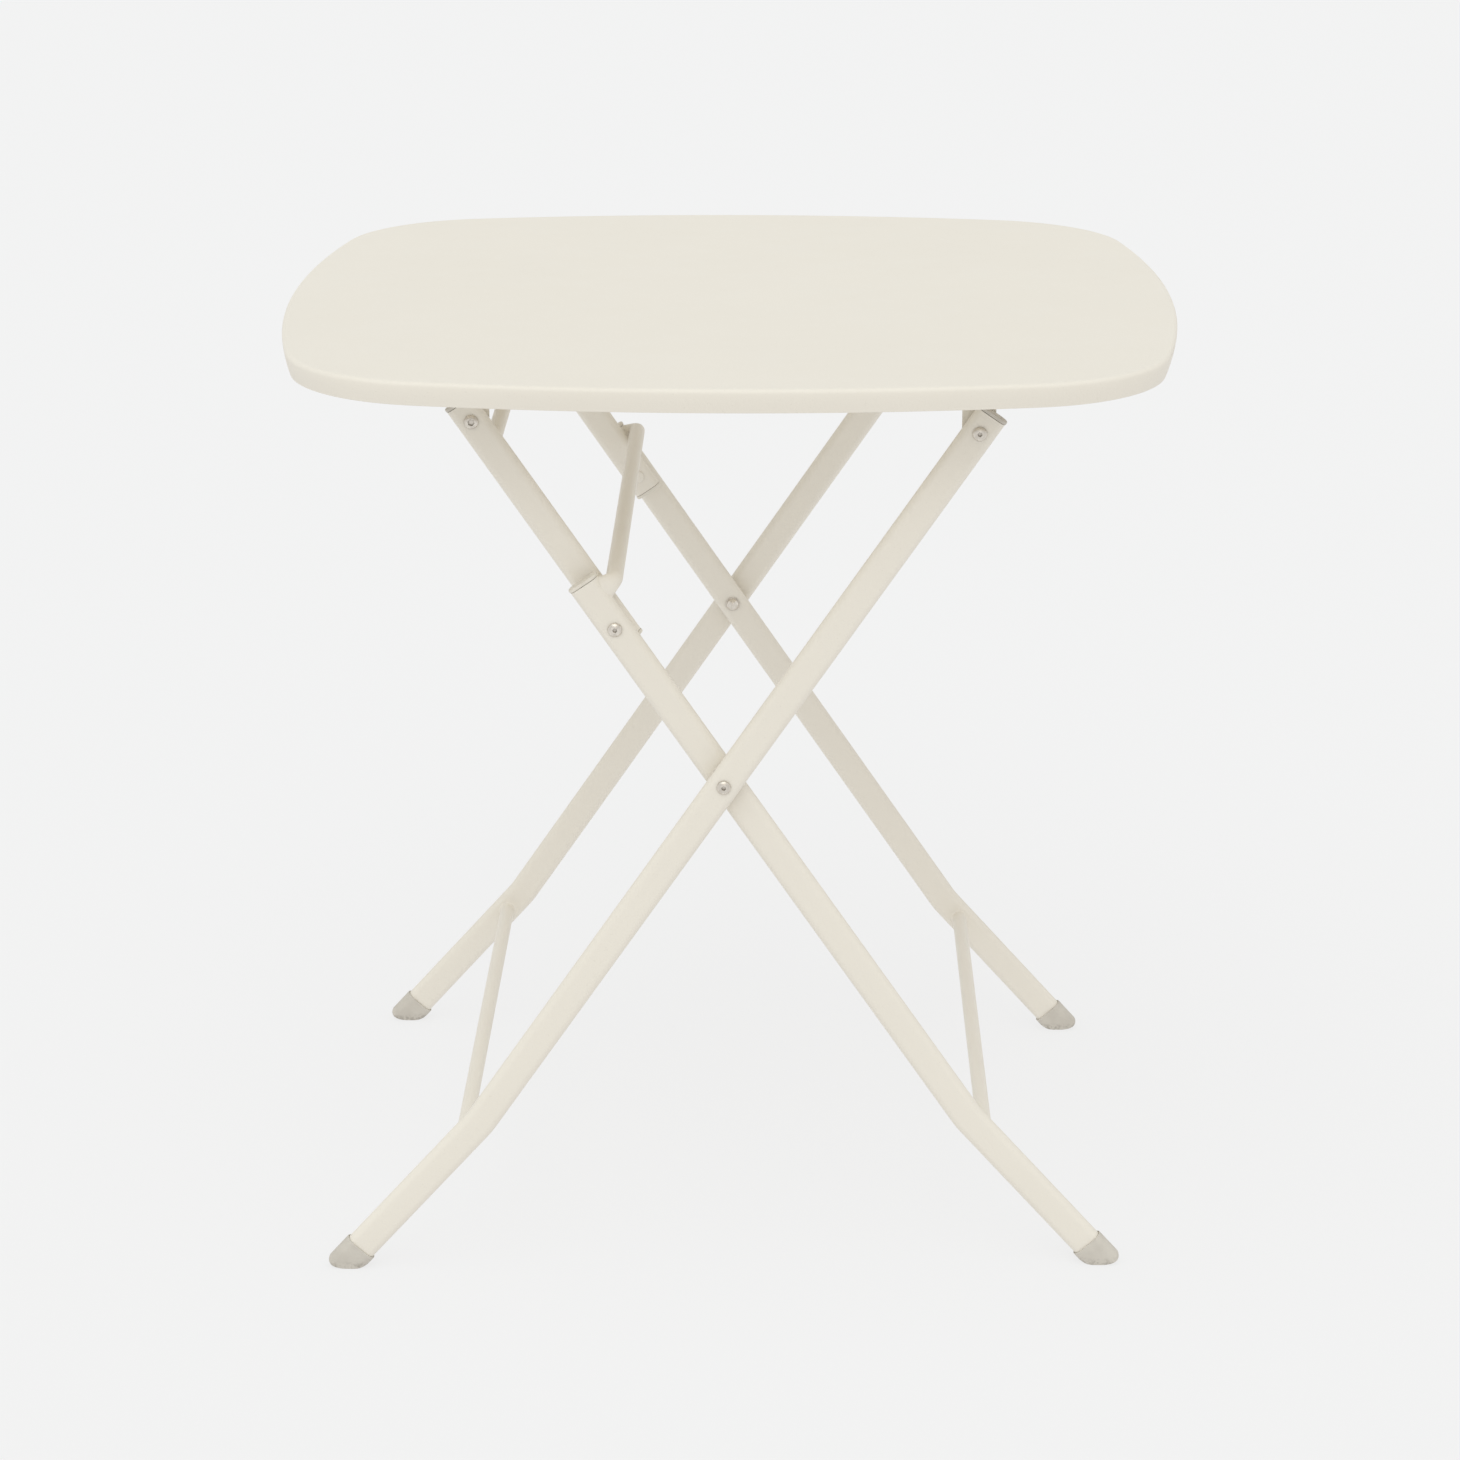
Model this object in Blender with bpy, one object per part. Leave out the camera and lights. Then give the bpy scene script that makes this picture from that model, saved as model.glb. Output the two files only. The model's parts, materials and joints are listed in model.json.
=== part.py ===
"""Folding balcony table: a square steel top on two crossed pairs of flat-oval legs.

Metres, +Z up. The origin is on the floor under the middle of the top. X runs across the
crossed legs, and Y runs along the hinge axes, from the front pair of legs to the back pair.
The outer legs lean from the right-hand hinge to the left-hand feet. The inner legs cross
them and end in a knee, where the braces carry on to the left-hand hinge.
"""

import math

import bmesh
import bpy
from mathutils import Matrix, Vector

# Driving dimensions of the top
TOP_SIDE = 0.700
TOP_HEIGHT = 0.725
SIDE_ARC_RADIUS = 1.21
CORNER_RADIUS = 0.127
SHEET = 0.0015
RIM_DEPTH = 0.018
EDGE_ROUND = 0.0032
RIM_TAPER = 0.0030
RIM_SWELL = 0.0010
HEM_WIDTH = 0.006
HEM_DEPTH = 0.003
HEM_ROUND = 0.0008

# Driving dimensions of the leg linkage, in the XZ plane
CROSS_X = -0.002
CROSS_Z = 0.399
LEG_ANGLE = math.radians(55.55)
FOOT_ANGLE = math.radians(48.05)
HINGE_REACH = 0.3334
KNEE_REACH = 0.1449
BEND_REACH = 0.3355
BEND_RADIUS = 0.060
OUTER_Y = 0.2620
INNER_Y = 0.2470
BRACE_Y = 0.2285

# Flat-oval tube
TUBE_WIDTH = 0.0245
TUBE_DEPTH = 0.0120
TUBE_WALL = 0.0014
HINGE_END = 0.0150
KNEE_END = 0.0409
BRACE_TAIL = 0.0150
BRACE_WIDTH = 0.0236
ROUND_TUBE = 0.0060
ROUND_WALL = 0.0012
CROSSBAR_BELOW_BEND = 0.0205
BRACE_BAR_BELOW_HINGE = 0.025
KNEE_BAR_RADIUS = 0.0065
KNEE_BAR_ABOVE_KNEE = 0.0305
KNEE_BAR_OFFSET = 0.0200

# Fittings
GAP = 0.0003
BOLT_RADIUS = 0.0030
HEAD_RADIUS = 0.0054
HEAD_HEIGHT = 0.0024
HEX_SIDES = 6
SOCKET_RADIUS = 0.0019
NUT_RADIUS = 0.0058
NUT_HEIGHT = 0.0040
NUT_BORE = (BOLT_RADIUS + GAP) / math.cos(math.pi / HEX_SIDES)
NUT_RADII = (NUT_BORE, NUT_RADIUS)
CAP_NUT_FLANGE = 0.0063
CAP_NUT_RADIUS = 0.0054
CAP_NUT_HEIGHT = 0.0046
CAP_NUT_DEPTH = 0.0032
RIVET_RADIUS = 0.0055
RIVET_HEIGHT = 0.0010
WASHER_RADIUS = 0.0070
WASHER_RADII = (BOLT_RADIUS + GAP, WASHER_RADIUS)
WASHER_THICKNESS = 0.0010
TAB_THICKNESS = 0.0025
TAB_RADIUS = 0.0125
PLUG_FLANGE = 0.0028
PLUG_BODY = 0.0050
PLUG_PROUD = 0.0008
CAP_WALL = 0.0013
CAP_OVERLAP = 0.0045
CAP_FLOOR = 0.0010
CAP_EDGE = 0.0015
CAP_TOE_LENGTH = 0.0140
CAP_TOE_HEIGHT = 0.0070
CAP_HEEL = 0.0140
CAP_LIFT = 0.0060
RAIL_WIDTH = 0.040
RAIL_DEPTH = 0.012
RAIL_WALL = 0.0020
RAIL_HALF_LENGTH = 0.275
BRACKET_BASE_LENGTH = 0.036
SCREW_RADIUS = 0.0022
SCREW_HEAD_RADIUS = 0.0042
SCREW_HEAD_HEIGHT = 0.0024
SCREW_SPACING = 0.014

# Outlines of the heads and of the cap nut, as shares of the radius and of the height
DOME_OUTLINE = ((0.45, 0.97), (0.75, 0.76), (0.94, 0.40), (1.0, 0.12), (0.98, 0.0))
PAN_OUTLINE = ((0.60, 1.0), (0.92, 0.75), (1.0, 0.35), (1.0, 0.0))
RIVET_OUTLINE = ((1.0, 0.0), (1.0, 0.5), (0.8, 1.0))
CAP_NUT_RIM = 0.13
CAP_NUT_OUTLINE = ((1.0, CAP_NUT_RIM), (0.95, 0.45), (0.76, 0.78), (0.42, 0.96))
SOCKET_FLOOR = 0.35
SOCKET_MOUTH = 1.3

# Colour, roughness and metallic of each finish
POWDER_COAT = ((0.80, 0.77, 0.68), 0.45, 0.0)
GREIGE_PLASTIC = ((0.55, 0.52, 0.45), 0.55, 0.0)
CREAM_PLASTIC = ((0.74, 0.71, 0.62), 0.50, 0.0)
ZINC_STEEL = ((0.66, 0.64, 0.60), 0.35, 1.0)

# Facets round a turned shape, a bore, a thin bar, a screw, half an oval and a bend
ROUND_STEPS = 16
BORE_STEPS = 12
BAR_STEPS = 12
SCREW_STEPS = 10
OVAL_STEPS = 6
BEND_STEPS = 4
ARC_STEPS = 5
CAP_STEPS = 6

# Segments of a quarter of the top's outline
SIDE_STEPS = 4
CORNER_STEPS = 8
EDGE_STEPS = 3

# Edges sharper than this stay sharp in the shading, and points closer than this are one
SHARP_ANGLE = math.radians(35)
MERGE_DISTANCE = 1e-6


def make_material(name, colour, roughness, metallic):
    material = bpy.data.materials.new(name)
    material.use_nodes = True
    shader = material.node_tree.nodes["Principled BSDF"]
    shader.inputs["Base Color"].default_value = (*colour, 1.0)
    shader.inputs["Roughness"].default_value = roughness
    shader.inputs["Metallic"].default_value = metallic
    return material


def clear_scene():
    for item in list(bpy.data.objects):
        bpy.data.objects.remove(item, do_unlink=True)


def object_from_bmesh(name, mesh_data, material=None, smooth=True):
    """Turn a bmesh into an object with outward normals and soft shading on its round faces."""
    bmesh.ops.recalc_face_normals(mesh_data, faces=mesh_data.faces)
    mesh = bpy.data.meshes.new(name)
    mesh_data.to_mesh(mesh)
    mesh_data.free()
    if smooth:
        mesh.shade_smooth()
        mesh.set_sharp_from_angle(angle=SHARP_ANGLE)
    item = bpy.data.objects.new(name, mesh)
    bpy.context.collection.objects.link(item)
    if material is not None:
        mesh.materials.append(material)
    return item


def combine(item, tool, operation):
    """Join a hidden tool shape to an object, or cut it away."""
    tool.hide_render = True
    tool.display_type = "WIRE"
    modifier = item.modifiers.new(tool.name, "BOOLEAN")
    modifier.operation = operation
    modifier.solver = "EXACT"
    modifier.object = tool


def cut(item, tool):
    combine(item, tool, "DIFFERENCE")


def ring_of(loop_points, mesh_data):
    return [mesh_data.verts.new(point) for point in loop_points]


def join_loops(mesh_data, first, second):
    """Quads between two closed rings that have the same number of vertices."""
    count = len(first)
    for index in range(count):
        following = (index + 1) % count
        mesh_data.faces.new((first[index], first[following], second[following], second[index]))


def lathe(name, profile, centre, material=None, steps=ROUND_STEPS):
    """Turn a closed (radius, y) profile about the Y line through centre.

    A profile that starts and ends at radius 0 makes a solid; any other makes a ring.
    """
    mesh_data = bmesh.new()
    solid = profile[0][0] == 0.0
    turned = profile[1:-1] if solid else profile
    rings = []
    for radius, y in turned:
        points = []
        for step in range(steps):
            angle = 2 * math.pi * step / steps
            points.append(centre + Vector((radius * math.cos(angle), y, radius * math.sin(angle))))
        rings.append(ring_of(points, mesh_data))
    for first, second in zip(rings, rings[1:]):
        join_loops(mesh_data, first, second)
    if solid:
        for ring, (_, y) in ((rings[0], profile[0]), (rings[-1], profile[-1])):
            tip = mesh_data.verts.new(centre + Vector((0, y, 0)))
            for index in range(steps):
                mesh_data.faces.new((ring[index], ring[(index + 1) % steps], tip))
    else:
        join_loops(mesh_data, rings[-1], rings[0])
    return object_from_bmesh(name, mesh_data, material)


def drill_across(item, place, middle_y):
    """Drill a bolt hole along Y, right through the wall round middle_y."""
    radius = BOLT_RADIUS + GAP
    y_low = middle_y - TUBE_DEPTH
    y_high = middle_y + TUBE_DEPTH
    profile = [(0.0, y_low), (radius, y_low), (radius, y_high), (0.0, y_high)]
    cut(item, lathe("bore_in_" + item.name, profile, place, steps=BORE_STEPS))


def oval_section(width, depth, side_steps=1):
    """Points (across, y) of a flat oval: two straight sides joined by half circles."""
    radius = depth / 2
    straight = width / 2 - radius
    points = []
    for side, start in ((1, -90), (-1, 90)):
        for step in range(OVAL_STEPS + 1):
            angle = math.radians(start + 180 * step / OVAL_STEPS)
            points.append((side * straight + radius * math.cos(angle), radius * math.sin(angle)))
        for step in range(1, side_steps):
            points.append((side * straight * (1 - 2 * step / side_steps), side * radius))
    return points


def oval_sweep(name, path, centre_y, width, depth, material=None, wall=None):
    """Sweep a flat oval along an XZ path; with a wall it is an open tube, else a solid bar.

    The ends are cut square to the path.
    """
    mesh_data = bmesh.new()
    sections = [oval_section(width, depth)]
    if wall is not None:
        sections.append(oval_section(width - 2 * wall, depth - 2 * wall))
    rings = [[] for _ in sections]
    for index, point in enumerate(path):
        before = path[max(index - 1, 0)]
        after = path[min(index + 1, len(path) - 1)]
        along = (after - before).normalized()
        across = Vector((-along.z, 0, along.x))
        for section, collected in zip(sections, rings):
            points = [
                Vector((point.x, centre_y, point.z)) + across * u + Vector((0, v, 0))
                for u, v in section
            ]
            collected.append(ring_of(points, mesh_data))
    for collected in rings:
        for first, second in zip(collected, collected[1:]):
            join_loops(mesh_data, first, second)
    if wall is None:
        mesh_data.faces.new(rings[0][0])
        mesh_data.faces.new(rings[0][-1])
    else:
        join_loops(mesh_data, rings[0][0], rings[1][0])
        join_loops(mesh_data, rings[0][-1], rings[1][-1])
    return object_from_bmesh(name, mesh_data, material)


def polar(distance, angle):
    return Vector((distance * math.cos(angle), 0, distance * math.sin(angle)))


def bent_path(start, bend, end, radius, steps=BEND_STEPS):
    """A straight run, an arc of the given radius at the bend, and a second straight run."""
    incoming = (bend - start).normalized()
    outgoing = (end - bend).normalized()
    turn = incoming.angle(outgoing)
    setback = radius * math.tan(turn / 2)
    side = Vector((-incoming.z, 0, incoming.x))
    if side.dot(outgoing) < 0:
        side.negate()
    arc_start = bend - incoming * setback
    centre = arc_start + side * radius
    points = [start]
    for step in range(steps + 1):
        angle = turn * step / steps
        points.append(centre - side * radius * math.cos(angle) + incoming * radius * math.sin(angle))
    points.append(end)
    return points


# Places in the linkage
CROSS = Vector((CROSS_X, 0, CROSS_Z))
OUTER_UP = polar(1, LEG_ANGLE)
INNER_UP = polar(1, math.pi - LEG_ANGLE)
OUTER_HINGE = CROSS + OUTER_UP * HINGE_REACH
BRACE_HINGE = CROSS + INNER_UP * HINGE_REACH
KNEE = CROSS + INNER_UP * KNEE_REACH
OUTER_BEND = CROSS - OUTER_UP * BEND_REACH
INNER_BEND = CROSS - INNER_UP * BEND_REACH
OUTER_FOOT_DOWN = -polar(1, FOOT_ANGLE)
INNER_FOOT_DOWN = -polar(1, math.pi - FOOT_ANGLE)
SHEET_UNDERSIDE = TOP_HEIGHT - SHEET
RAIL_TOP = SHEET_UNDERSIDE - GAP
RAIL_BOTTOM = RAIL_TOP - RAIL_WALL
BASE_TOP = RAIL_BOTTOM - GAP
BASE_BOTTOM = BASE_TOP - TAB_THICKNESS


def on_floor(bend, down):
    """Where a foot's centreline meets the floor."""
    return bend + down * (bend.z / -down.z)


def top_outline(inset, z):
    """The rounded square with slightly bowed sides, moved in by inset."""
    half = TOP_SIDE / 2 - inset
    side_radius = SIDE_ARC_RADIUS - inset
    corner_radius = CORNER_RADIUS - inset
    # The corner's centre is (k, k): it is side_radius - corner_radius from the side's centre.
    shift = side_radius - half
    reach = side_radius - corner_radius
    corner = (-shift + math.sqrt(2 * reach**2 - shift**2)) / 2
    first_turn = math.atan2(corner, corner + shift)
    quarter = []
    for step in range(SIDE_STEPS):
        angle = first_turn * step / SIDE_STEPS
        quarter.append((side_radius * math.cos(angle) - shift, side_radius * math.sin(angle)))
    for step in range(CORNER_STEPS + 1):
        angle = first_turn + (math.pi / 2 - 2 * first_turn) * step / CORNER_STEPS
        point = (corner + corner_radius * math.cos(angle), corner + corner_radius * math.sin(angle))
        quarter.append(point)
    for step in range(1, SIDE_STEPS):
        angle = math.pi / 2 - first_turn * (1 - step / SIDE_STEPS)
        quarter.append((side_radius * math.cos(angle), side_radius * math.sin(angle) - shift))
    outline = []
    for turn in range(4):
        cosine = round(math.cos(turn * math.pi / 2))
        sine = round(math.sin(turn * math.pi / 2))
        for x, y in quarter:
            outline.append(Vector((x * cosine - y * sine, x * sine + y * cosine, z)))
    return outline


def make_tabletop(material):
    """Pressed sheet with a rounded edge, a swelling rim and a folded hem, open underneath."""
    rim_bottom = TOP_HEIGHT - RIM_DEPTH
    levels = []
    for step in range(EDGE_STEPS + 1):
        angle = math.pi / 2 * step / EDGE_STEPS
        inset = EDGE_ROUND * (1 - math.sin(angle))
        levels.append((inset, TOP_HEIGHT - EDGE_ROUND * (1 - math.cos(angle))))
    rim_middle = (rim_bottom + TOP_HEIGHT - EDGE_ROUND) / 2
    hem_inner = RIM_TAPER + HEM_WIDTH
    levels.append((RIM_SWELL, rim_middle))
    levels.append((RIM_TAPER, rim_bottom + HEM_ROUND))
    levels.append((RIM_TAPER + HEM_ROUND, rim_bottom))
    levels.append((hem_inner - HEM_ROUND, rim_bottom))
    levels.append((hem_inner, rim_bottom + HEM_ROUND))
    levels.append((hem_inner, rim_bottom + HEM_DEPTH - HEM_ROUND))
    levels.append((hem_inner - HEM_ROUND, rim_bottom + HEM_DEPTH))
    levels.append((RIM_TAPER + SHEET, rim_bottom + HEM_DEPTH + HEM_ROUND))
    levels.append((RIM_SWELL + SHEET, rim_middle))
    levels.append((SHEET, TOP_HEIGHT - EDGE_ROUND))
    levels.append((EDGE_ROUND + HEM_ROUND, SHEET_UNDERSIDE))
    mesh_data = bmesh.new()
    rings = [ring_of(top_outline(inset, z), mesh_data) for inset, z in levels]
    for first, second in zip(rings, rings[1:]):
        join_loops(mesh_data, first, second)
    mesh_data.faces.new(rings[0])
    mesh_data.faces.new(rings[-1])
    return object_from_bmesh("tabletop", mesh_data, material)


def box(name, low, high, material=None):
    mesh_data = bmesh.new()
    bmesh.ops.create_cube(mesh_data, size=1.0)
    middle = (low + high) / 2
    size = high - low
    for vertex in mesh_data.verts:
        vertex.co = Vector(vertex.co[axis] * size[axis] + middle[axis] for axis in range(3))
    return object_from_bmesh(name, mesh_data, material, smooth=False)


def make_rail(name, x, material):
    """An inverted channel welded under the sheet, which carries one row of hinge brackets."""
    half = RAIL_WIDTH / 2
    low = RAIL_TOP - RAIL_DEPTH
    outline = [
        (-half, low),
        (-half, RAIL_TOP),
        (half, RAIL_TOP),
        (half, low),
        (half - RAIL_WALL, low),
        (half - RAIL_WALL, RAIL_BOTTOM),
        (-half + RAIL_WALL, RAIL_BOTTOM),
        (-half + RAIL_WALL, low),
    ]
    mesh_data = bmesh.new()
    ends = []
    for y in (-RAIL_HALF_LENGTH, RAIL_HALF_LENGTH):
        ends.append(ring_of([Vector((x + across, y, z)) for across, z in outline], mesh_data))
    join_loops(mesh_data, ends[0], ends[1])
    mesh_data.faces.new(ends[0])
    mesh_data.faces.new(ends[1])
    return object_from_bmesh(name, mesh_data, material, smooth=False)


def make_bracket(name, hinge, tab_outer, side, material):
    """A bent steel angle: a flange under the rail and a round-ended tab down to the pivot.

    tab_outer is the distance from the middle plane to the tab's outer face.
    """
    outer = side * tab_outer
    inner = side * (tab_outer - TAB_THICKNESS)
    flange_end = side * (tab_outer - BRACKET_BASE_LENGTH)
    outline = []
    for step in range(ROUND_STEPS // 2 + 1):
        angle = math.pi + math.pi * step / (ROUND_STEPS // 2)
        outline.append((hinge.x + TAB_RADIUS * math.cos(angle), hinge.z + TAB_RADIUS * math.sin(angle)))
    outline.append((hinge.x + TAB_RADIUS, BASE_TOP))
    outline.append((hinge.x - TAB_RADIUS, BASE_TOP))
    mesh_data = bmesh.new()
    faces = []
    for y in (outer, inner):
        faces.append(ring_of([Vector((x, y, z)) for x, z in outline], mesh_data))
    join_loops(mesh_data, faces[0], faces[1])
    mesh_data.faces.new(faces[0])
    mesh_data.faces.new(faces[1])
    bracket = object_from_bmesh(name, mesh_data, material)
    y_low, y_high = sorted(((outer + inner) / 2, flange_end))
    low = Vector((hinge.x - TAB_RADIUS, y_low, BASE_BOTTOM))
    high = Vector((hinge.x + TAB_RADIUS, y_high, BASE_TOP))
    combine(bracket, box("flange_of_" + name, low, high), "UNION")
    drill_across(bracket, hinge, outer)
    return bracket


def screw_places(tab_outer, side):
    middle = tab_outer - (BRACKET_BASE_LENGTH + TAB_THICKNESS) / 2
    return [side * (middle + offset) for offset in (SCREW_SPACING / 2, -SCREW_SPACING / 2)]


def upright_lathe(name, profile, x, y, material=None, steps=SCREW_STEPS):
    """Turn a closed (radius, z) profile that starts and ends at radius 0 about a vertical line."""
    mesh_data = bmesh.new()
    rings = []
    for radius, z in profile[1:-1]:
        points = []
        for step in range(steps):
            angle = 2 * math.pi * step / steps
            points.append(Vector((x + radius * math.cos(angle), y + radius * math.sin(angle), z)))
        rings.append(ring_of(points, mesh_data))
    for first, second in zip(rings, rings[1:]):
        join_loops(mesh_data, first, second)
    for ring, (_, z) in ((rings[0], profile[0]), (rings[-1], profile[-1])):
        tip = mesh_data.verts.new((x, y, z))
        for index in range(steps):
            mesh_data.faces.new((ring[index], ring[(index + 1) % steps], tip))
    return object_from_bmesh(name, mesh_data, material)


def drill_up(item, x, y):
    """Drill an object along Z through the rail's web and the bracket's flange."""
    radius = SCREW_RADIUS + GAP
    low = BASE_BOTTOM - TAB_THICKNESS
    high = RAIL_TOP + GAP
    profile = [(0.0, low), (radius, low), (radius, high), (0.0, high)]
    cut(item, upright_lathe("hole_in_" + item.name, profile, x, y))


def make_screw(name, x, y, material):
    """A pan-head screw up through a bracket's flange into the rail."""
    head_top = BASE_BOTTOM - GAP
    profile = [(0.0, head_top - SCREW_HEAD_HEIGHT)]
    for across, drop in PAN_OUTLINE:
        profile.append((SCREW_HEAD_RADIUS * across, head_top - SCREW_HEAD_HEIGHT * drop))
    profile += [(SCREW_RADIUS, head_top), (SCREW_RADIUS, RAIL_TOP - GAP), (0.0, RAIL_TOP - GAP)]
    return upright_lathe(name, profile, x, y, material)


def make_dome_bolt(name, place, side, head_y, tip_y, material):
    """A domed button-head bolt along Y with a hexagon socket in its head."""
    rise = side * HEAD_HEIGHT
    face = side * head_y
    profile = [(0.0, face + rise)]
    for across, height in DOME_OUTLINE:
        profile.append((HEAD_RADIUS * across, face + rise * height))
    profile += [(BOLT_RADIUS, face), (BOLT_RADIUS, side * tip_y), (0.0, side * tip_y)]
    bolt = lathe(name, profile, place, material)
    floor = face + rise * SOCKET_FLOOR
    mouth = face + rise * SOCKET_MOUTH
    socket = [(0.0, floor), (SOCKET_RADIUS, floor), (SOCKET_RADIUS, mouth), (0.0, mouth)]
    cut(bolt, lathe("socket_in_" + name, socket, place, steps=HEX_SIDES))


def make_ring(name, place, radii, ends, material, steps=ROUND_STEPS):
    """A plain ring along Y, from its inner and outer radii and the Y of its two ends."""
    inner, outer = radii
    start, stop = ends
    profile = [(inner, start), (outer, start), (outer, stop), (inner, stop)]
    return lathe(name, profile, place, material, steps)


def make_cap_nut(name, place, side, face_y, material):
    """A domed nut with a thin flange and a blind hole, on a leg's inner face."""
    hole_end = side * (face_y - CAP_NUT_DEPTH - GAP)
    face = side * face_y
    drop = -side * CAP_NUT_HEIGHT
    profile = [
        (0.0, hole_end),
        (BOLT_RADIUS + GAP, hole_end),
        (BOLT_RADIUS + GAP, face),
        (CAP_NUT_FLANGE, face),
        (CAP_NUT_FLANGE, face + drop * CAP_NUT_RIM),
    ]
    for across, height in CAP_NUT_OUTLINE:
        profile.append((CAP_NUT_RADIUS * across, face + drop * height))
    profile.append((0.0, face + drop))
    lathe(name, profile, place, material)


def make_plug(name, end, along, centre_y, tube_width, material):
    """A tube-end plug: a flange the size of the tube and a shorter body inside the bore."""
    flange_start = end + along * GAP
    flange = oval_sweep(
        name,
        [flange_start, flange_start + along * PLUG_FLANGE],
        centre_y,
        tube_width + PLUG_PROUD,
        TUBE_DEPTH,
        material,
    )
    clearance = 2 * TUBE_WALL + 2 * GAP
    body = oval_sweep(
        "body_of_" + name,
        [end - along * PLUG_BODY, flange_start + along * PLUG_FLANGE * 0.5],
        centre_y,
        tube_width - clearance,
        TUBE_DEPTH - clearance,
    )
    combine(flange, body, "UNION")


def reach_to_sole(start, down, floor_point, half_width):
    """How far a line along down runs from start to the sole: oval toe, flat, or round heel.

    Toe and heel each touch the flat and the boot's side, which half_width places.
    """
    outward = math.copysign(1, down.x)
    rise = -down.z
    run = abs(down.x)
    toe_reach = run * CAP_TOE_HEIGHT + math.hypot(rise * CAP_TOE_LENGTH, run * CAP_TOE_HEIGHT)
    toe_x = floor_point.x + outward * (half_width - toe_reach) / rise
    heel_x = floor_point.x - outward * (half_width / rise - CAP_HEEL * math.tan(math.asin(rise) / 2))
    to_floor = start.z / rise
    landing = (start + down * to_floor).x
    rounds = (
        (toe_x, CAP_TOE_HEIGHT, CAP_TOE_HEIGHT / CAP_TOE_LENGTH, outward),
        (heel_x, CAP_HEEL, 1.0, -outward),
    )
    for centre_x, height, stretch, beyond in rounds:
        if (landing - centre_x) * beyond > 0:
            offset = Vector(((start.x - centre_x) * stretch, 0, start.z - height))
            heading = Vector((down.x * stretch, 0, down.z))
            square = heading.length_squared
            along = offset.dot(heading)
            inside = along**2 - square * (offset.length_squared - height**2)
            return (math.sqrt(max(0.0, inside)) - along) / square
    return to_floor


def make_foot_cap(name, bend, down, centre_y, material):
    """A boot over the tube's lower end, with a flat sole, an oval toe and a round heel."""
    floor_point = on_floor(bend, down)
    slant = abs(down.z)
    lead = TUBE_WIDTH / 2 * math.sqrt(1 - slant**2) / slant
    tube_end = floor_point - down * (lead + CAP_FLOOR + CAP_LIFT)
    mouth = tube_end - down * CAP_OVERLAP
    width = TUBE_WIDTH + 2 * CAP_WALL
    depth = TUBE_DEPTH + 2 * CAP_WALL
    across = Vector((-down.z, 0, down.x))
    levels = []
    for step in range(EDGE_STEPS + 1):
        angle = math.pi / 2 * step / EDGE_STEPS
        levels.append((CAP_EDGE * (1 - math.cos(angle)), CAP_EDGE * (1 - math.sin(angle))))
    levels.append(((CAP_EDGE + depth / 2) / 2, 0.0))
    levels.append((depth / 2, 0.0))
    mesh_data = bmesh.new()
    outline = oval_section(width, depth, CAP_STEPS)
    brim = [mouth + across * u + Vector((0, centre_y + v, 0)) for u, v in outline]
    rings = [ring_of(brim, mesh_data)]
    for inset, lift in levels:
        points = []
        for u, v in oval_section(width - 2 * inset, depth - 2 * inset, CAP_STEPS):
            start = mouth + across * u + Vector((0, centre_y + v, 0))
            reach = reach_to_sole(start, down, floor_point, width / 2) - lift
            points.append(start + down * reach)
        rings.append(ring_of(points, mesh_data))
    for first, second in zip(rings, rings[1:]):
        join_loops(mesh_data, first, second)
    mesh_data.faces.new(rings[0])
    bmesh.ops.remove_doubles(mesh_data, verts=mesh_data.verts, dist=MERGE_DISTANCE)
    cap = object_from_bmesh(name, mesh_data, material)
    socket = oval_sweep(
        "socket_of_" + name,
        [mouth - down * CAP_OVERLAP, tube_end + down * GAP],
        centre_y,
        TUBE_WIDTH + 2 * GAP,
        TUBE_DEPTH + 2 * GAP,
    )
    cut(cap, socket)
    return tube_end


def make_crossbar(name, place, half_length, material):
    """A round tube along Y between the inner faces of two legs."""
    radii = (ROUND_TUBE - ROUND_WALL, ROUND_TUBE)
    make_ring(name, place, radii, (-half_length, half_length), material, steps=BAR_STEPS)


def make_knee_bar(material):
    """The bent bar that joins the inner legs at the knee and stops the braces when straight."""
    foot = KNEE + INNER_UP * KNEE_BAR_ABOVE_KNEE
    outward = Vector((math.sin(LEG_ANGLE), 0, math.cos(LEG_ANGLE)))
    start_offset = TUBE_WIDTH / 2 + GAP
    radius = KNEE_BAR_OFFSET - start_offset
    points = []
    for side in (-1, 1):
        arc = []
        for step in range(ARC_STEPS + 1):
            angle = math.pi / 2 * step / ARC_STEPS
            offset = start_offset + radius * math.sin(angle)
            y = side * (INNER_Y - radius * (1 - math.cos(angle)))
            arc.append(foot + outward * offset + Vector((0, y, 0)))
        points += arc if side < 0 else arc[::-1]
    curve = bpy.data.curves.new("knee_bar", "CURVE")
    curve.dimensions = "3D"
    curve.bevel_depth = KNEE_BAR_RADIUS
    curve.bevel_resolution = 2
    curve.use_fill_caps = True
    spline = curve.splines.new("POLY")
    spline.points.add(len(points) - 1)
    for target, point in zip(spline.points, points):
        target.co = (*point, 1.0)
    bar = bpy.data.objects.new("knee_bar", curve)
    bpy.context.collection.objects.link(bar)
    curve.materials.append(material)
    return bar


def group_on_axis(name, place, pieces):
    """Parent one body's pieces, with their hidden tool shapes, to an empty on its joint axis."""
    axis = bpy.data.objects.new(name, None)
    axis.location = place
    bpy.context.collection.objects.link(axis)
    for piece in pieces:
        piece.parent = axis
        piece.matrix_parent_inverse = Matrix.Translation(-place)


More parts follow.
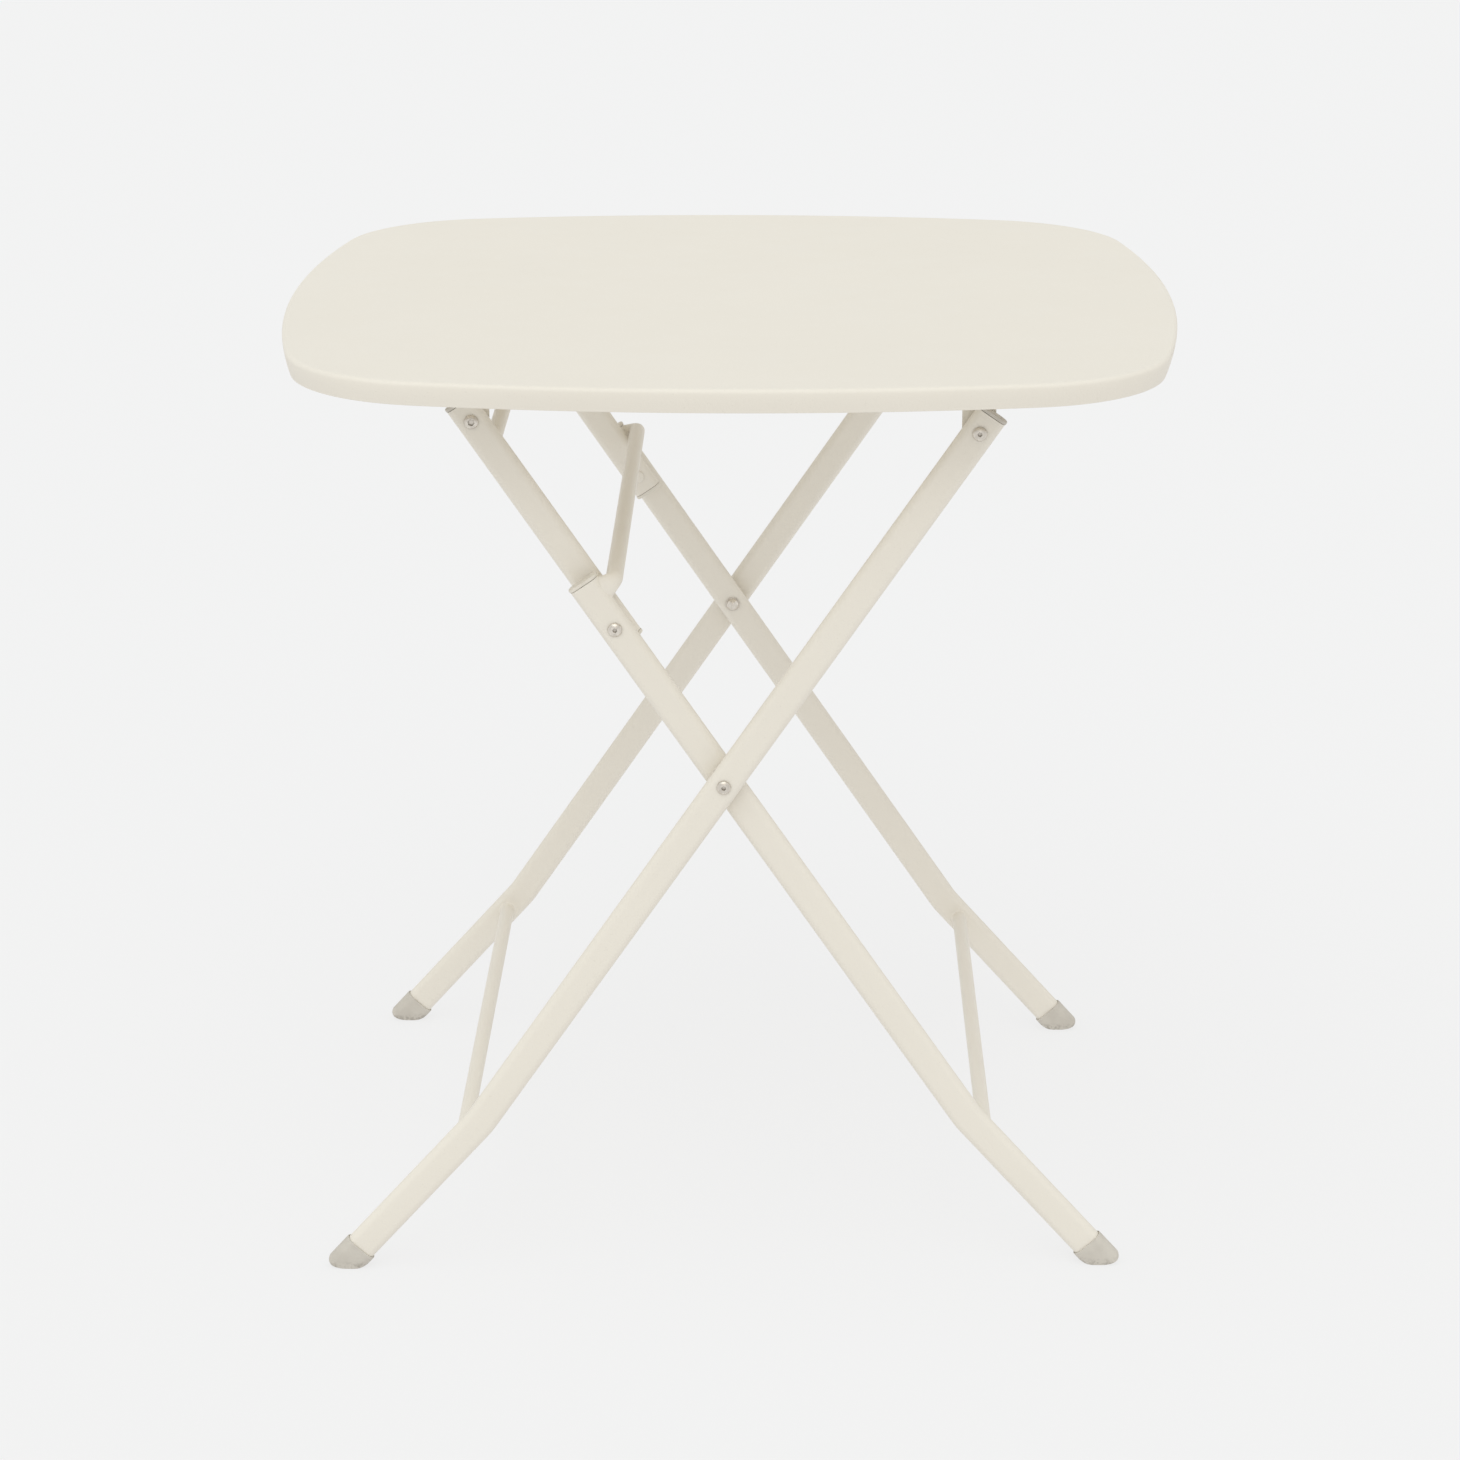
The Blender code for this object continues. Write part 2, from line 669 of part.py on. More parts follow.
def build_outer_frame(paint, plastic, plug_plastic, steel):
    reach = TUBE_DEPTH / 2
    for side, label in ((-1, "front"), (1, "back")):
        y = side * OUTER_Y
        tube_end = make_foot_cap("outer_foot_cap_" + label, OUTER_BEND, OUTER_FOOT_DOWN, y, plastic)
        top_end = OUTER_HINGE + OUTER_UP * HINGE_END
        path = bent_path(top_end, OUTER_BEND, tube_end, BEND_RADIUS)
        leg = oval_sweep("outer_leg_" + label, path, y, TUBE_WIDTH, TUBE_DEPTH, paint, TUBE_WALL)
        for hole in (OUTER_HINGE, CROSS):
            drill_across(leg, hole, y)
        make_plug("outer_leg_plug_" + label, top_end, OUTER_UP, y, TUBE_WIDTH, plastic)

        inner_face = INNER_Y - reach
        tip = inner_face - CAP_NUT_DEPTH
        make_dome_bolt("cross_bolt_" + label, CROSS, side, OUTER_Y + reach + GAP, tip, steel)
        make_cap_nut("cross_nut_" + label, CROSS, side, inner_face - GAP, steel)
        spacer = (side * (OUTER_Y - reach - GAP), side * (INNER_Y + reach + GAP))
        make_ring("cross_spacer_" + label, CROSS, WASHER_RADII, spacer, plug_plastic)
    place = OUTER_BEND + OUTER_FOOT_DOWN * CROSSBAR_BELOW_BEND
    make_crossbar("outer_crossbar", place, OUTER_Y - reach - GAP, paint)


def build_inner_frame(paint, plastic, plug_plastic, steel):
    reach = TUBE_DEPTH / 2
    for side, label in ((-1, "front"), (1, "back")):
        y = side * INNER_Y
        tube_end = make_foot_cap("inner_foot_cap_" + label, INNER_BEND, INNER_FOOT_DOWN, y, plastic)
        top_end = KNEE + INNER_UP * KNEE_END
        path = bent_path(top_end, INNER_BEND, tube_end, BEND_RADIUS)
        leg = oval_sweep("inner_leg_" + label, path, y, TUBE_WIDTH, TUBE_DEPTH, paint, TUBE_WALL)
        for hole in (KNEE, CROSS):
            drill_across(leg, hole, y)
        make_plug("inner_leg_plug_" + label, top_end, INNER_UP, y, TUBE_WIDTH, plug_plastic)

        gap_inner = BRACE_Y + reach + GAP
        make_dome_bolt("knee_bolt_" + label, KNEE, side, INNER_Y + reach + GAP, gap_inner, steel)
        spacer = (side * (INNER_Y - reach - GAP), side * gap_inner)
        make_ring("knee_spacer_" + label, KNEE, WASHER_RADII, spacer, plug_plastic)
    place = INNER_BEND + INNER_FOOT_DOWN * CROSSBAR_BELOW_BEND
    make_crossbar("inner_crossbar", place, INNER_Y - reach - GAP, paint)
    make_knee_bar(paint)


def build_knee_braces(paint, plastic, plug_plastic, _):
    reach = TUBE_DEPTH / 2
    for side, label in ((-1, "front"), (1, "back")):
        y = side * BRACE_Y
        top_end = BRACE_HINGE + INNER_UP * HINGE_END
        tail_end = KNEE - INNER_UP * BRACE_TAIL
        ends = [top_end, tail_end]
        brace = oval_sweep("brace_" + label, ends, y, BRACE_WIDTH, TUBE_DEPTH, paint, TUBE_WALL)
        for hole in (BRACE_HINGE, KNEE):
            drill_across(brace, hole, y)
        make_plug("brace_top_plug_" + label, top_end, INNER_UP, y, BRACE_WIDTH, plastic)
        make_plug("brace_tail_plug_" + label, tail_end, -INNER_UP, y, BRACE_WIDTH, plug_plastic)

        face = BRACE_Y - reach - GAP
        stub = side * (BRACE_Y + reach - GAP)
        profile = [(0.0, stub), (BOLT_RADIUS, stub), (BOLT_RADIUS, side * face)]
        for across, height in RIVET_OUTLINE:
            profile.append((RIVET_RADIUS * across, side * (face - RIVET_HEIGHT * height)))
        profile.append((0.0, side * (face - RIVET_HEIGHT)))
        lathe("knee_nut_" + label, profile, KNEE, paint)
    place = BRACE_HINGE - INNER_UP * BRACE_BAR_BELOW_HINGE
    make_crossbar("brace_crossbar", place, BRACE_Y - reach - GAP, paint)


def build_top(paint, _, plug_plastic, steel):
    make_tabletop(paint)
    reach = TUBE_DEPTH / 2
    rows = (("hinge", OUTER_HINGE, OUTER_Y), ("brace_hinge", BRACE_HINGE, BRACE_Y))
    for row, hinge, tube_y in rows:
        rail = make_rail(row + "_rail", hinge.x, paint)
        tab_outer = tube_y - reach - WASHER_THICKNESS - 2 * GAP
        for side, label in ((-1, "front"), (1, "back")):
            bracket = make_bracket(row + "_bracket_" + label, hinge, tab_outer, side, paint)
            for number, y in enumerate(screw_places(tab_outer, side), start=1):
                for drilled in (rail, bracket):
                    drill_up(drilled, hinge.x, y)
                make_screw(f"{row}_screw_{label}_{number}", hinge.x, y, steel)
            washer = (side * (tube_y - reach - GAP), side * (tab_outer + GAP))
            make_ring(f"{row}_washer_{label}", hinge, WASHER_RADII, washer, plug_plastic)
            nut_face = tab_outer - TAB_THICKNESS - GAP
            tip = nut_face - NUT_HEIGHT
            make_dome_bolt(f"{row}_bolt_{label}", hinge, side, tube_y + reach + GAP, tip, steel)
            if row == "hinge":
                nut = (side * nut_face, side * tip)
                make_ring(f"{row}_nut_{label}", hinge, NUT_RADII, nut, steel, steps=HEX_SIDES)


def main():
    clear_scene()
    paint = make_material("cream_powder_coat", *POWDER_COAT)
    plastic = make_material("greige_plastic", *GREIGE_PLASTIC)
    plug_plastic = make_material("cream_plastic", *CREAM_PLASTIC)
    steel = make_material("zinc_steel", *ZINC_STEEL)
    bodies = (
        ("outer_frame", CROSS, build_outer_frame),
        ("inner_frame", CROSS, build_inner_frame),
        ("folding_top", OUTER_HINGE, build_top),
        ("knee_braces", BRACE_HINGE, build_knee_braces),
    )
    for name, place, build in bodies:
        earlier = set(bpy.data.objects)
        build(paint, plastic, plug_plastic, steel)
        group_on_axis(name, place, [item for item in bpy.data.objects if item not in earlier])


main()
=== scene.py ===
"""Looks of the folding balcony table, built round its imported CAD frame.

Metres, +Z up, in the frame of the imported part: X runs across the crossed legs, Y along the
hinge axes, and the origin is on the floor under the middle of the top.
"""

import json
import math

import bmesh
import bpy
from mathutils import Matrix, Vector


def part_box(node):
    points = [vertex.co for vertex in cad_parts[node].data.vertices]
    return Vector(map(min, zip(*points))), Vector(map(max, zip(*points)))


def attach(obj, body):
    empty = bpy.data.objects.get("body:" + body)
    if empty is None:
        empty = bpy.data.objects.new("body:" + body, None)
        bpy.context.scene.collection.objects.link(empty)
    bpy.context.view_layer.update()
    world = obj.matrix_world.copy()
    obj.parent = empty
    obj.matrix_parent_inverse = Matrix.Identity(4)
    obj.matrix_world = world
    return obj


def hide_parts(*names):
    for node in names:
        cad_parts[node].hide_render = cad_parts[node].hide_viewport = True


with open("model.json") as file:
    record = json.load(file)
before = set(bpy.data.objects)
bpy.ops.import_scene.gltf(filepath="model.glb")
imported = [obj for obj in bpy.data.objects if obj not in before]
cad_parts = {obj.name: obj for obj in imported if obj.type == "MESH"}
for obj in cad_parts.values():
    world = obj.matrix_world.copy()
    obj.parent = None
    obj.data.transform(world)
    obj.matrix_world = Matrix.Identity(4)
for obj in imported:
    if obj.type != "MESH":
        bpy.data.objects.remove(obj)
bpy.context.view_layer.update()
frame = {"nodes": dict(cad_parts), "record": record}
NODES = frame["nodes"]
RECORD = frame["record"]

# The leg linkage, as in the CAD part
JOINT_PLACES = {joint["name"]: Vector(joint["pos_m"]) for joint in RECORD["behaviour"]["joints"]}
CROSS = JOINT_PLACES["scissor_fold"]
OUTER_HINGE = JOINT_PLACES["top_fold"]
BRACE_HINGE = JOINT_PLACES["brace_fold"]
OUTER_UP = (OUTER_HINGE - CROSS).normalized()
INNER_UP = (BRACE_HINGE - CROSS).normalized()
FOOT_ANGLE = math.radians(48.05)
KNEE_REACH = 0.1449
BEND_REACH = 0.3355
BEND_RADIUS = 0.060
KNEE = CROSS + INNER_UP * KNEE_REACH
OUTER_BEND = CROSS - OUTER_UP * BEND_REACH
INNER_BEND = CROSS - INNER_UP * BEND_REACH
OUTER_FOOT_DOWN = Vector((-math.cos(FOOT_ANGLE), 0, -math.sin(FOOT_ANGLE)))
INNER_FOOT_DOWN = Vector((math.cos(FOOT_ANGLE), 0, -math.sin(FOOT_ANGLE)))
OUTER_Y = 0.2620
INNER_Y = 0.2470
BRACE_Y = 0.2285

# Tubes and fittings
TUBE_WIDTH = 0.0245
TUBE_DEPTH = 0.0120
TUBE_REACH = TUBE_DEPTH / 2
HINGE_END = 0.0150
KNEE_END = 0.0409
BRACE_TAIL = 0.0150
BRACE_WIDTH = 0.0236
ROUND_TUBE = 0.0060
ROUND_RADII = (ROUND_TUBE, ROUND_TUBE)
CROSSBAR_BELOW_BEND = 0.0205
BRACE_BAR_BELOW_HINGE = 0.025
KNEE_BAR_RADIUS = 0.0065
KNEE_BAR_ABOVE_KNEE = 0.0305
KNEE_BAR_OFFSET = 0.0200
KNEE_BAR_FLAT_LENGTH = 0.0095
KNEE_BAR_FLAT_DEPTH = 0.0045
GAP = 0.0003
BOLT_RADIUS = 0.0030
BORE_RADIUS = BOLT_RADIUS + GAP
HEAD_RADIUS = 0.0054
HEAD_HEIGHT = 0.0024
SOCKET_RADIUS = 0.0019
EYELET_SOCKET_RADIUS = 0.0027
NUT_HEIGHT = 0.0040
CAP_NUT_FLANGE = 0.0063
CAP_NUT_RADIUS = 0.0054
CAP_NUT_HEIGHT = 0.0046
CAP_NUT_DEPTH = 0.0032
RIVET_RADIUS = 0.0055
RIVET_HEIGHT = 0.0010
TAB_THICKNESS = 0.0025
WASHER_THICKNESS = 0.0010
PLUG_FLANGE = 0.0028
PLUG_PROUD = 0.0008
PLUG_ROUND = 0.0011
CAP_WALL = 0.0013
CAP_OVERLAP = 0.0045
CAP_FLOOR = 0.0010
CAP_EDGE = 0.0012
CAP_TOE_LENGTH = 0.0140
CAP_TOE_HEIGHT = 0.0070
CAP_HEEL = 0.0140
CAP_LIFT = 0.0060
CAP_LIP = 0.0005
CAP_LIP_ROUND = 0.3
PLUG_CHAMFER_INSET = 0.0004
PLUG_CHAMFER_DEPTH = 0.0003
PLUG_FACE_INSET = 0.0016
SOFT_EDGE = 0.0004
SOFT_EDGE_LIMIT = math.radians(40)

# Outlines of heads and nuts, as shares of a head's or nut's radius and height
DOME_FLAT = 0.28
DOME_STEEP = 0.14
DOME_FOOT = ((1.0, 0.06), (0.97, 0.0))
SOCKET_FLOOR = 0.30
SOCKET_MOUTH = 1.4
CAP_NUT_HOLE_TIP = 0.2
CAP_NUT_RIM = 0.13
CAP_NUT_FLANGE_OUTLINE = ((0.98, 0.0), (1.0, CAP_NUT_RIM * 0.4), (0.97, CAP_NUT_RIM))
CAP_NUT_NECK = 1.05
CAP_NUT_FULLNESS = 0.8
CAP_NUT_TIP = 0.1
RIVET_ROUND = 0.3

# The bolts' threads and tips; the crest is a share of the pitch
THREAD_PITCH = 0.0010
THREAD_CREST = 0.40
THREAD_DEPTH = 0.0003
BOLT_CHAMFER = 0.0004

# Weld beads: size, depth of the root, and ripples as (share of the size, count, phase)
WELD_SIZE = 0.0019
KNEE_WELD_SIZE = 0.0013
WELD_ROOT = 0.0002
WELD_RIPPLES = ((0.10, 9, 0.7), (0.05, 4, 2.1))
KNEE_BAR_SINK = 0.0004

# The top
TOP_LOW, TOP_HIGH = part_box("tabletop")
TOP_SIDE = TOP_HIGH[0] - TOP_LOW[0]
TOP_HEIGHT = TOP_HIGH[2]
RIM_BOTTOM = TOP_LOW[2]
SIDE_ARC_RADIUS = 1.21
CORNER_RADIUS = 0.127
SHEET = 0.0015
EDGE_ROUND = 0.0032
RIM_TAPER = 0.0030
RIM_SWELL_POWER = 1.585
HEM_WIDTH = 0.006
HEM_DEPTH = 0.003
HEM_ROUND = 0.0008
FIELD_MARGIN = 0.004
FIELD_RING = 0.012

# Facets of round shapes, and segments of the top's outline and of quarter rounds
ROUND_STEPS = 48
TUBE_STEPS = 32
OVAL_STEPS = 16
BEND_STEPS = 14
SIDE_STEPS = 18
CORNER_STEPS = 28
CAP_STEPS = 16
EDGE_STEPS = 7
DOME_STEPS = 9
CAP_NUT_STEPS = 11
RIVET_STEPS = 6
HEX_SIDES = 6

# Edges sharper than these stay sharp, and points closer than this are one
SHARP_ANGLE = math.radians(32)
BOOT_SHARP_ANGLE = math.radians(50)
MERGE_DISTANCE = 1e-6

ALONG_Y = Vector((0, 1, 0))

# Colours of the finishes
COAT_LIGHT = (0.80, 0.757, 0.672)
COAT_DARK = (0.755, 0.71, 0.622)
COAT_SPECK = (0.42, 0.38, 0.30)
# Lighter edge colour of the coat: partly wear, partly a painted highlight
COAT_EDGE_WEAR_AND_HIGHLIGHT = (0.89, 0.855, 0.78)
COAT_ROUGHNESS = 0.52
FOOT_LIGHT = (0.60, 0.565, 0.50)
FOOT_DARK = (0.54, 0.505, 0.445)
PLUG_LIGHT = (0.76, 0.72, 0.635)
PLUG_DARK = (0.70, 0.66, 0.575)
PLASTIC_SCUFF = (0.26, 0.235, 0.20)
# Edge colour of the plastics: partly wear, partly a painted highlight
PLASTIC_EDGE_WEAR_AND_HIGHLIGHT = (0.72, 0.69, 0.62)
ZINC_LIGHT = (0.80, 0.75, 0.675)
ZINC_DARK = (0.64, 0.595, 0.53)
# Lighter edge colour of the plating: partly wear, partly a painted highlight
ZINC_EDGE_WEAR_AND_HIGHLIGHT = (0.84, 0.80, 0.74)
# Painted shade: the dark colour put into the plating's recesses and tight gaps
ZINC_PAINTED_SHADE = (0.34, 0.31, 0.27)

# Noise scales of the coat, the plastics and the plating, per metre
MOTTLE_SCALE = 9.0
GRAIN_SCALE = 1500.0
SPECKLE_SCALE = 640.0
WEAR_SCALE = 55.0
SMUDGE_SCALE = 24.0
PEEL_SCALE = 420.0
POWDER_SCALE = 2100.0
CLOUD_SCALE = 70.0
FLECK_SCALE = 900.0
SHEEN_SCALE = 160.0
SCUFF_SCALE = 380.0
FOOT_GRAIN_SCALE = 1100.0
PLUG_GRAIN_SCALE = 1400.0
PLATING_SCALE = 240.0
TURNING_SCALE = 900.0
PLATE_SCALE = 1300.0

# Depths of the surface relief, widths of edges lightened by wear and painted highlight, and the reach of
# scuffs and of painted shade in recesses
PEEL_DEPTH = 0.00022
POWDER_DEPTH = 0.00008
PLASTIC_DEPTH = 0.0001
TURNING_DEPTH = 0.00003
PLATE_DEPTH = 0.00004
COAT_EDGE = 0.0012
PLASTIC_EDGE = 0.0007
ZINC_EDGE = 0.0004
SCUFF_LOW = 0.0015
SCUFF_HIGH = 0.0075
PAINTED_SHADE_REACH = 0.0022

# The suns as (degrees to the right of the front, degrees up, spread in degrees, colour, strength)
SUNS = {
    "soft_key": (-20, 66, 60, (0.92, 1.0, 1.02), 0.76),
    "front_fill": (5, 36, 40, (1.0, 0.93, 0.82), 0.30),
    "left_wall": (-80, 20, 60, (1.0, 0.97, 0.93), 0.12),
    "right_wall": (80, 20, 60, (1.0, 0.97, 0.93), 0.12),
}

# The room and the floor
WHITE = (1, 1, 1, 1)
WORLD_STRENGTH = 0.76
FLOOR_REACH = 60.0
FLOOR_COLOUR = (0.15, 0.15, 0.15, 1)
FLOOR_ROUGHNESS = 0.9
FLOOR_GLOW = 0.735

# The camera, with its angles in degrees: down from level, and to the left of straight ahead
CAMERA_PLACE = (0.0424, -3.1363, 1.3552)
CAMERA_DOWN = 16.283
CAMERA_TURN = 0.793
CAMERA_LENS = 98.59
CAMERA_SENSOR = 36.0
CAMERA_SHIFT = -0.0635
CAMERA_FAR = 200.0

# The CAD nodes that finer pieces stand for, gathered as the pieces are dressed
replaced_nodes = set()


# ---------------------------------------------------------------- materials


class Shader:
    """A node material with short calls for the nodes that the finishes share."""

    def __init__(self, name):
        self.material = bpy.data.materials.new(name)
        self.material.use_nodes = True
        self.tree = self.material.node_tree
        self.principled = self.tree.nodes["Principled BSDF"]
        self.place = self.add("ShaderNodeTexCoord").outputs["Object"]

    def add(self, kind, **settings):
        node = self.tree.nodes.new(kind)
        for key, value in settings.items():
            setattr(node, key, value)
        return node

    def connect(self, socket, value):
        """Link a socket to another one, or set its own value."""
        if isinstance(value, bpy.types.NodeSocket):
            self.tree.links.new(value, socket)
        else:
            socket.default_value = value

    def feed(self, node, **inputs):
        """Set or link a node's inputs by name, with _ for a space."""
        for key, value in inputs.items():
            self.connect(node.inputs[key.replace("_", " ")], value)
        return node

    def noise(self, scale, detail=3.0, roughness=0.5):
        node = self.add("ShaderNodeTexNoise")
        self.feed(node, Vector=self.place, Scale=scale, Detail=detail, Roughness=roughness)
        return node.outputs["Fac"]

    def between(self, value, low, high, to_low=0.0, to_high=1.0):
        node = self.add("ShaderNodeMapRange", interpolation_type="SMOOTHSTEP")
        self.feed(node, Value=value, From_Min=low, From_Max=high, To_Min=to_low, To_Max=to_high)
        return node.outputs["Result"]

    def patches(self, scale, low, high, detail=3.0, roughness=0.5, to_low=0.0, to_high=1.0):
        """Soft patches of noise: to_low where it is under low, and to_high where it is over high."""
        return self.between(self.noise(scale, detail, roughness), low, high, to_low, to_high)

    def maths(self, operation, first, second):
        node = self.add("ShaderNodeMath", operation=operation)
        for socket, value in zip(node.inputs, (first, second)):
            self.connect(socket, value)
        return node.outputs["Value"]

    def blend(self, mask, under, over):
        """The colour under where the mask is 0, and over where it is 1; each a socket or (r, g, b)."""
        node = self.add("ShaderNodeMix", data_type="RGBA")
        self.tree.links.new(mask, node.inputs["Factor"])
        for label, colour in (("A", under), ("B", over)):
            socket = next(s for s in node.inputs if s.name == label and s.type == "RGBA")
            self.connect(socket, (*colour, 1.0) if isinstance(colour, tuple) else colour)
        return next(s for s in node.outputs if s.type == "RGBA")

    def tint(self, under, over, mask, amount):
        """The colour under, moved by amount towards over where the mask is 1."""
        return self.blend(self.maths("MULTIPLY", mask, amount), under, over)

    def edges(self, radius, low, high):
        """1 along sharp edges and 0 on open faces."""
        bevel = self.feed(self.add("ShaderNodeBevel", samples=4), Radius=radius)
        face = self.add("ShaderNodeNewGeometry").outputs["Normal"]
        dot = self.add("ShaderNodeVectorMath", operation="DOT_PRODUCT")
        self.tree.links.new(bevel.outputs["Normal"], dot.inputs[0])
        self.tree.links.new(face, dot.inputs[1])
        return self.between(dot.outputs["Value"], high, low)

    def painted_crevice_shade(self, distance, low, high):
        """1 deep in recesses and close against a neighbour, 0 on open faces: an occlusion mask that
        paints shade into the colour.
        """
        shade = self.feed(self.add("ShaderNodeAmbientOcclusion", samples=6), Distance=distance)
        return self.between(shade.outputs["AO"], low, high, 1.0, 0.0)

    def bump(self, height, distance, strength, after=None):
        node = self.add("ShaderNodeBump")
        self.feed(node, Height=height, Distance=distance, Strength=strength)
        if after is not None:
            self.feed(node, Normal=after)
        return node.outputs["Normal"]

    def finish(self, colour, roughness, normal, **constants):
        self.feed(self.principled, Base_Color=colour, Roughness=roughness, Normal=normal, **constants)
        return self.material


def powder_coat():
    """Satin cream powder coat: faint mottling, orange peel, a grain of powder, thin bright edges that are
    partly worn coat and partly a painted highlight.
    """
    shader = Shader("cream_powder_coat")
    mottle = shader.patches(MOTTLE_SCALE, low=0.30, high=0.70, detail=4.0)
    grain = shader.patches(GRAIN_SCALE, low=0.35, high=0.65, detail=2.0)
    speckle = shader.patches(SPECKLE_SCALE, low=0.69, high=0.76, detail=1.0)
    body = shader.tint(COAT_LIGHT, COAT_DARK, mottle, amount=0.15)
    body = shader.tint(body, COAT_DARK, grain, amount=0.12)
    body = shader.tint(body, COAT_SPECK, speckle, amount=0.10)
    # Edges lightened in patches: partly worn coat, partly a painted highlight
    patch = shader.patches(WEAR_SCALE, low=0.42, high=0.62)
    wear_and_highlight = shader.maths("MULTIPLY", shader.edges(COAT_EDGE, low=0.55, high=0.97), patch)
    body = shader.tint(body, COAT_EDGE_WEAR_AND_HIGHLIGHT, wear_and_highlight, amount=0.45)
    smudge = shader.patches(SMUDGE_SCALE, 0.3, 0.7, detail=5.0, roughness=0.6, to_low=-0.05, to_high=0.05)
    roughness = shader.maths("ADD", smudge, COAT_ROUGHNESS)
    peel = shader.bump(shader.noise(PEEL_SCALE, detail=2.0), PEEL_DEPTH, strength=0.55)
    powder = shader.bump(shader.noise(POWDER_SCALE, detail=2.0), POWDER_DEPTH, strength=0.6, after=peel)
    return shader.finish(body, roughness, powder, Specular_IOR_Level=0.28, IOR=1.5)


def moulded_plastic(name, light, dark, texture_scale, scuffed):
    """Injection-moulded plastic: fine spark-eroded grain, uneven sheen, scuffs near the floor, edges
    tinted partly as wear and partly as a painted highlight.
    """
    shader = Shader(name)
    cloud = shader.patches(CLOUD_SCALE, low=0.3, high=0.7)
    body = shader.blend(cloud, light, dark)
    fleck = shader.patches(FLECK_SCALE, low=0.55, high=0.75, detail=2.0)
    body = shader.tint(body, dark, fleck, amount=0.25)
    roughness = shader.patches(SHEEN_SCALE, low=0.3, high=0.7, detail=4.0, to_low=0.46, to_high=0.62)
    if scuffed:
        height = shader.add("ShaderNodeSeparateXYZ")
        shader.tree.links.new(shader.place, height.inputs["Vector"])
        near_floor = shader.between(height.outputs["Z"], SCUFF_LOW, SCUFF_HIGH, 1.0, 0.0)
        rubbed = shader.patches(SCUFF_SCALE, low=0.42, high=0.62, detail=4.0)
        scuff = shader.maths("MULTIPLY", near_floor, rubbed)
        body = shader.tint(body, PLASTIC_SCUFF, scuff, amount=0.55)
    # Edges tinted: partly worn plastic, partly a painted highlight
    edge = shader.edges(PLASTIC_EDGE, low=0.6, high=0.97)
    body = shader.tint(body, PLASTIC_EDGE_WEAR_AND_HIGHLIGHT, edge, amount=0.35)
    normal = shader.bump(shader.noise(texture_scale), PLASTIC_DEPTH, strength=0.7)
    return shader.finish(body, roughness, normal, Specular_IOR_Level=0.35)


def zinc_steel():
    """Zinc-plated steel with fine turning lines and a cloudy, slightly warm plating, edges lightened as
    wear and painted highlight, and painted shade in recesses.
    """
    shader = Shader("zinc_plated_steel")
    cloud = shader.patches(PLATING_SCALE, low=0.3, high=0.7, detail=4.0)
    body = shader.blend(cloud, ZINC_LIGHT, ZINC_DARK)
    lines = shader.add("ShaderNodeTexWave", wave_type="RINGS", rings_direction="Y")
    shader.feed(lines, Vector=shader.place, Scale=TURNING_SCALE, Distortion=1.5, Detail=2.0)
    roughness = shader.between(cloud, 0.0, 1.0, to_low=0.24, to_high=0.36)
    # Edges lightened: partly worn plating, partly a painted highlight
    edge = shader.edges(ZINC_EDGE, low=0.6, high=0.97)
    body = shader.tint(body, ZINC_EDGE_WEAR_AND_HIGHLIGHT, edge, amount=0.4)
    # Painted shade: recesses and gaps close to a neighbour darkened towards a dark colour by ambient
    # occlusion
    body = shader.blend(shader.painted_crevice_shade(PAINTED_SHADE_REACH, low=0.35, high=0.85), body, ZINC_PAINTED_SHADE)
    normal = shader.bump(lines.outputs["Fac"], TURNING_DEPTH, strength=0.5)
    normal = shader.bump(shader.noise(PLATE_SCALE), PLATE_DEPTH, strength=0.4, after=normal)
    return shader.finish(body, roughness, normal, Metallic=1.0)


FINISHES = {
    "powder_coat": powder_coat(),
    "foot_plastic": moulded_plastic("greige_foot_plastic", FOOT_LIGHT, FOOT_DARK, FOOT_GRAIN_SCALE, True),
    "plug_plastic": moulded_plastic("cream_plug_plastic", PLUG_LIGHT, PLUG_DARK, PLUG_GRAIN_SCALE, False),
    "zinc_steel": zinc_steel(),
}


# ---------------------------------------------------------------- mesh helpers


def loft(rings, close_end=True):
    """A bmesh skin over closed rings of points, with a face over its start and maybe its end."""
    mesh_data = bmesh.new()
    made = [[mesh_data.verts.new(point) for point in ring] for ring in rings]
    count = len(rings[0])
    for first, second in zip(made, made[1:]):
        for index in range(count):
            following = (index + 1) % count
            mesh_data.faces.new((first[index], first[following], second[following], second[index]))
    mesh_data.faces.new(made[0])
    if close_end:
        mesh_data.faces.new(made[-1])
    return mesh_data


def make_object(name, mesh_data, place=None, sharp_angle=SHARP_ANGLE):
    """An object with outward normals and soft shading except over sharp edges.

    The points stay where they are; place only moves the object's origin, for its texture.
    """
    bmesh.ops.recalc_face_normals(mesh_data, faces=mesh_data.faces)
    if place is not None:
        bmesh.ops.translate(mesh_data, verts=mesh_data.verts, vec=-place)
    mesh = bpy.data.meshes.new(name)
    mesh_data.to_mesh(mesh)
    mesh_data.free()
    mesh.shade_smooth()
    mesh.set_sharp_from_angle(angle=sharp_angle)
    item = bpy.data.objects.new(name, mesh)
    if place is not None:
        item.location = place
    bpy.context.collection.objects.link(item)
    return item


def dress(item, body, slot, *replaced):
    """Give a piece its finish, its body and the CAD nodes that it stands for."""
    item.data.materials.clear()
    item.data.materials.append(FINISHES[slot])
    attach(item, body)
    if replaced:
        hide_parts(*replaced)
        replaced_nodes.update(replaced)


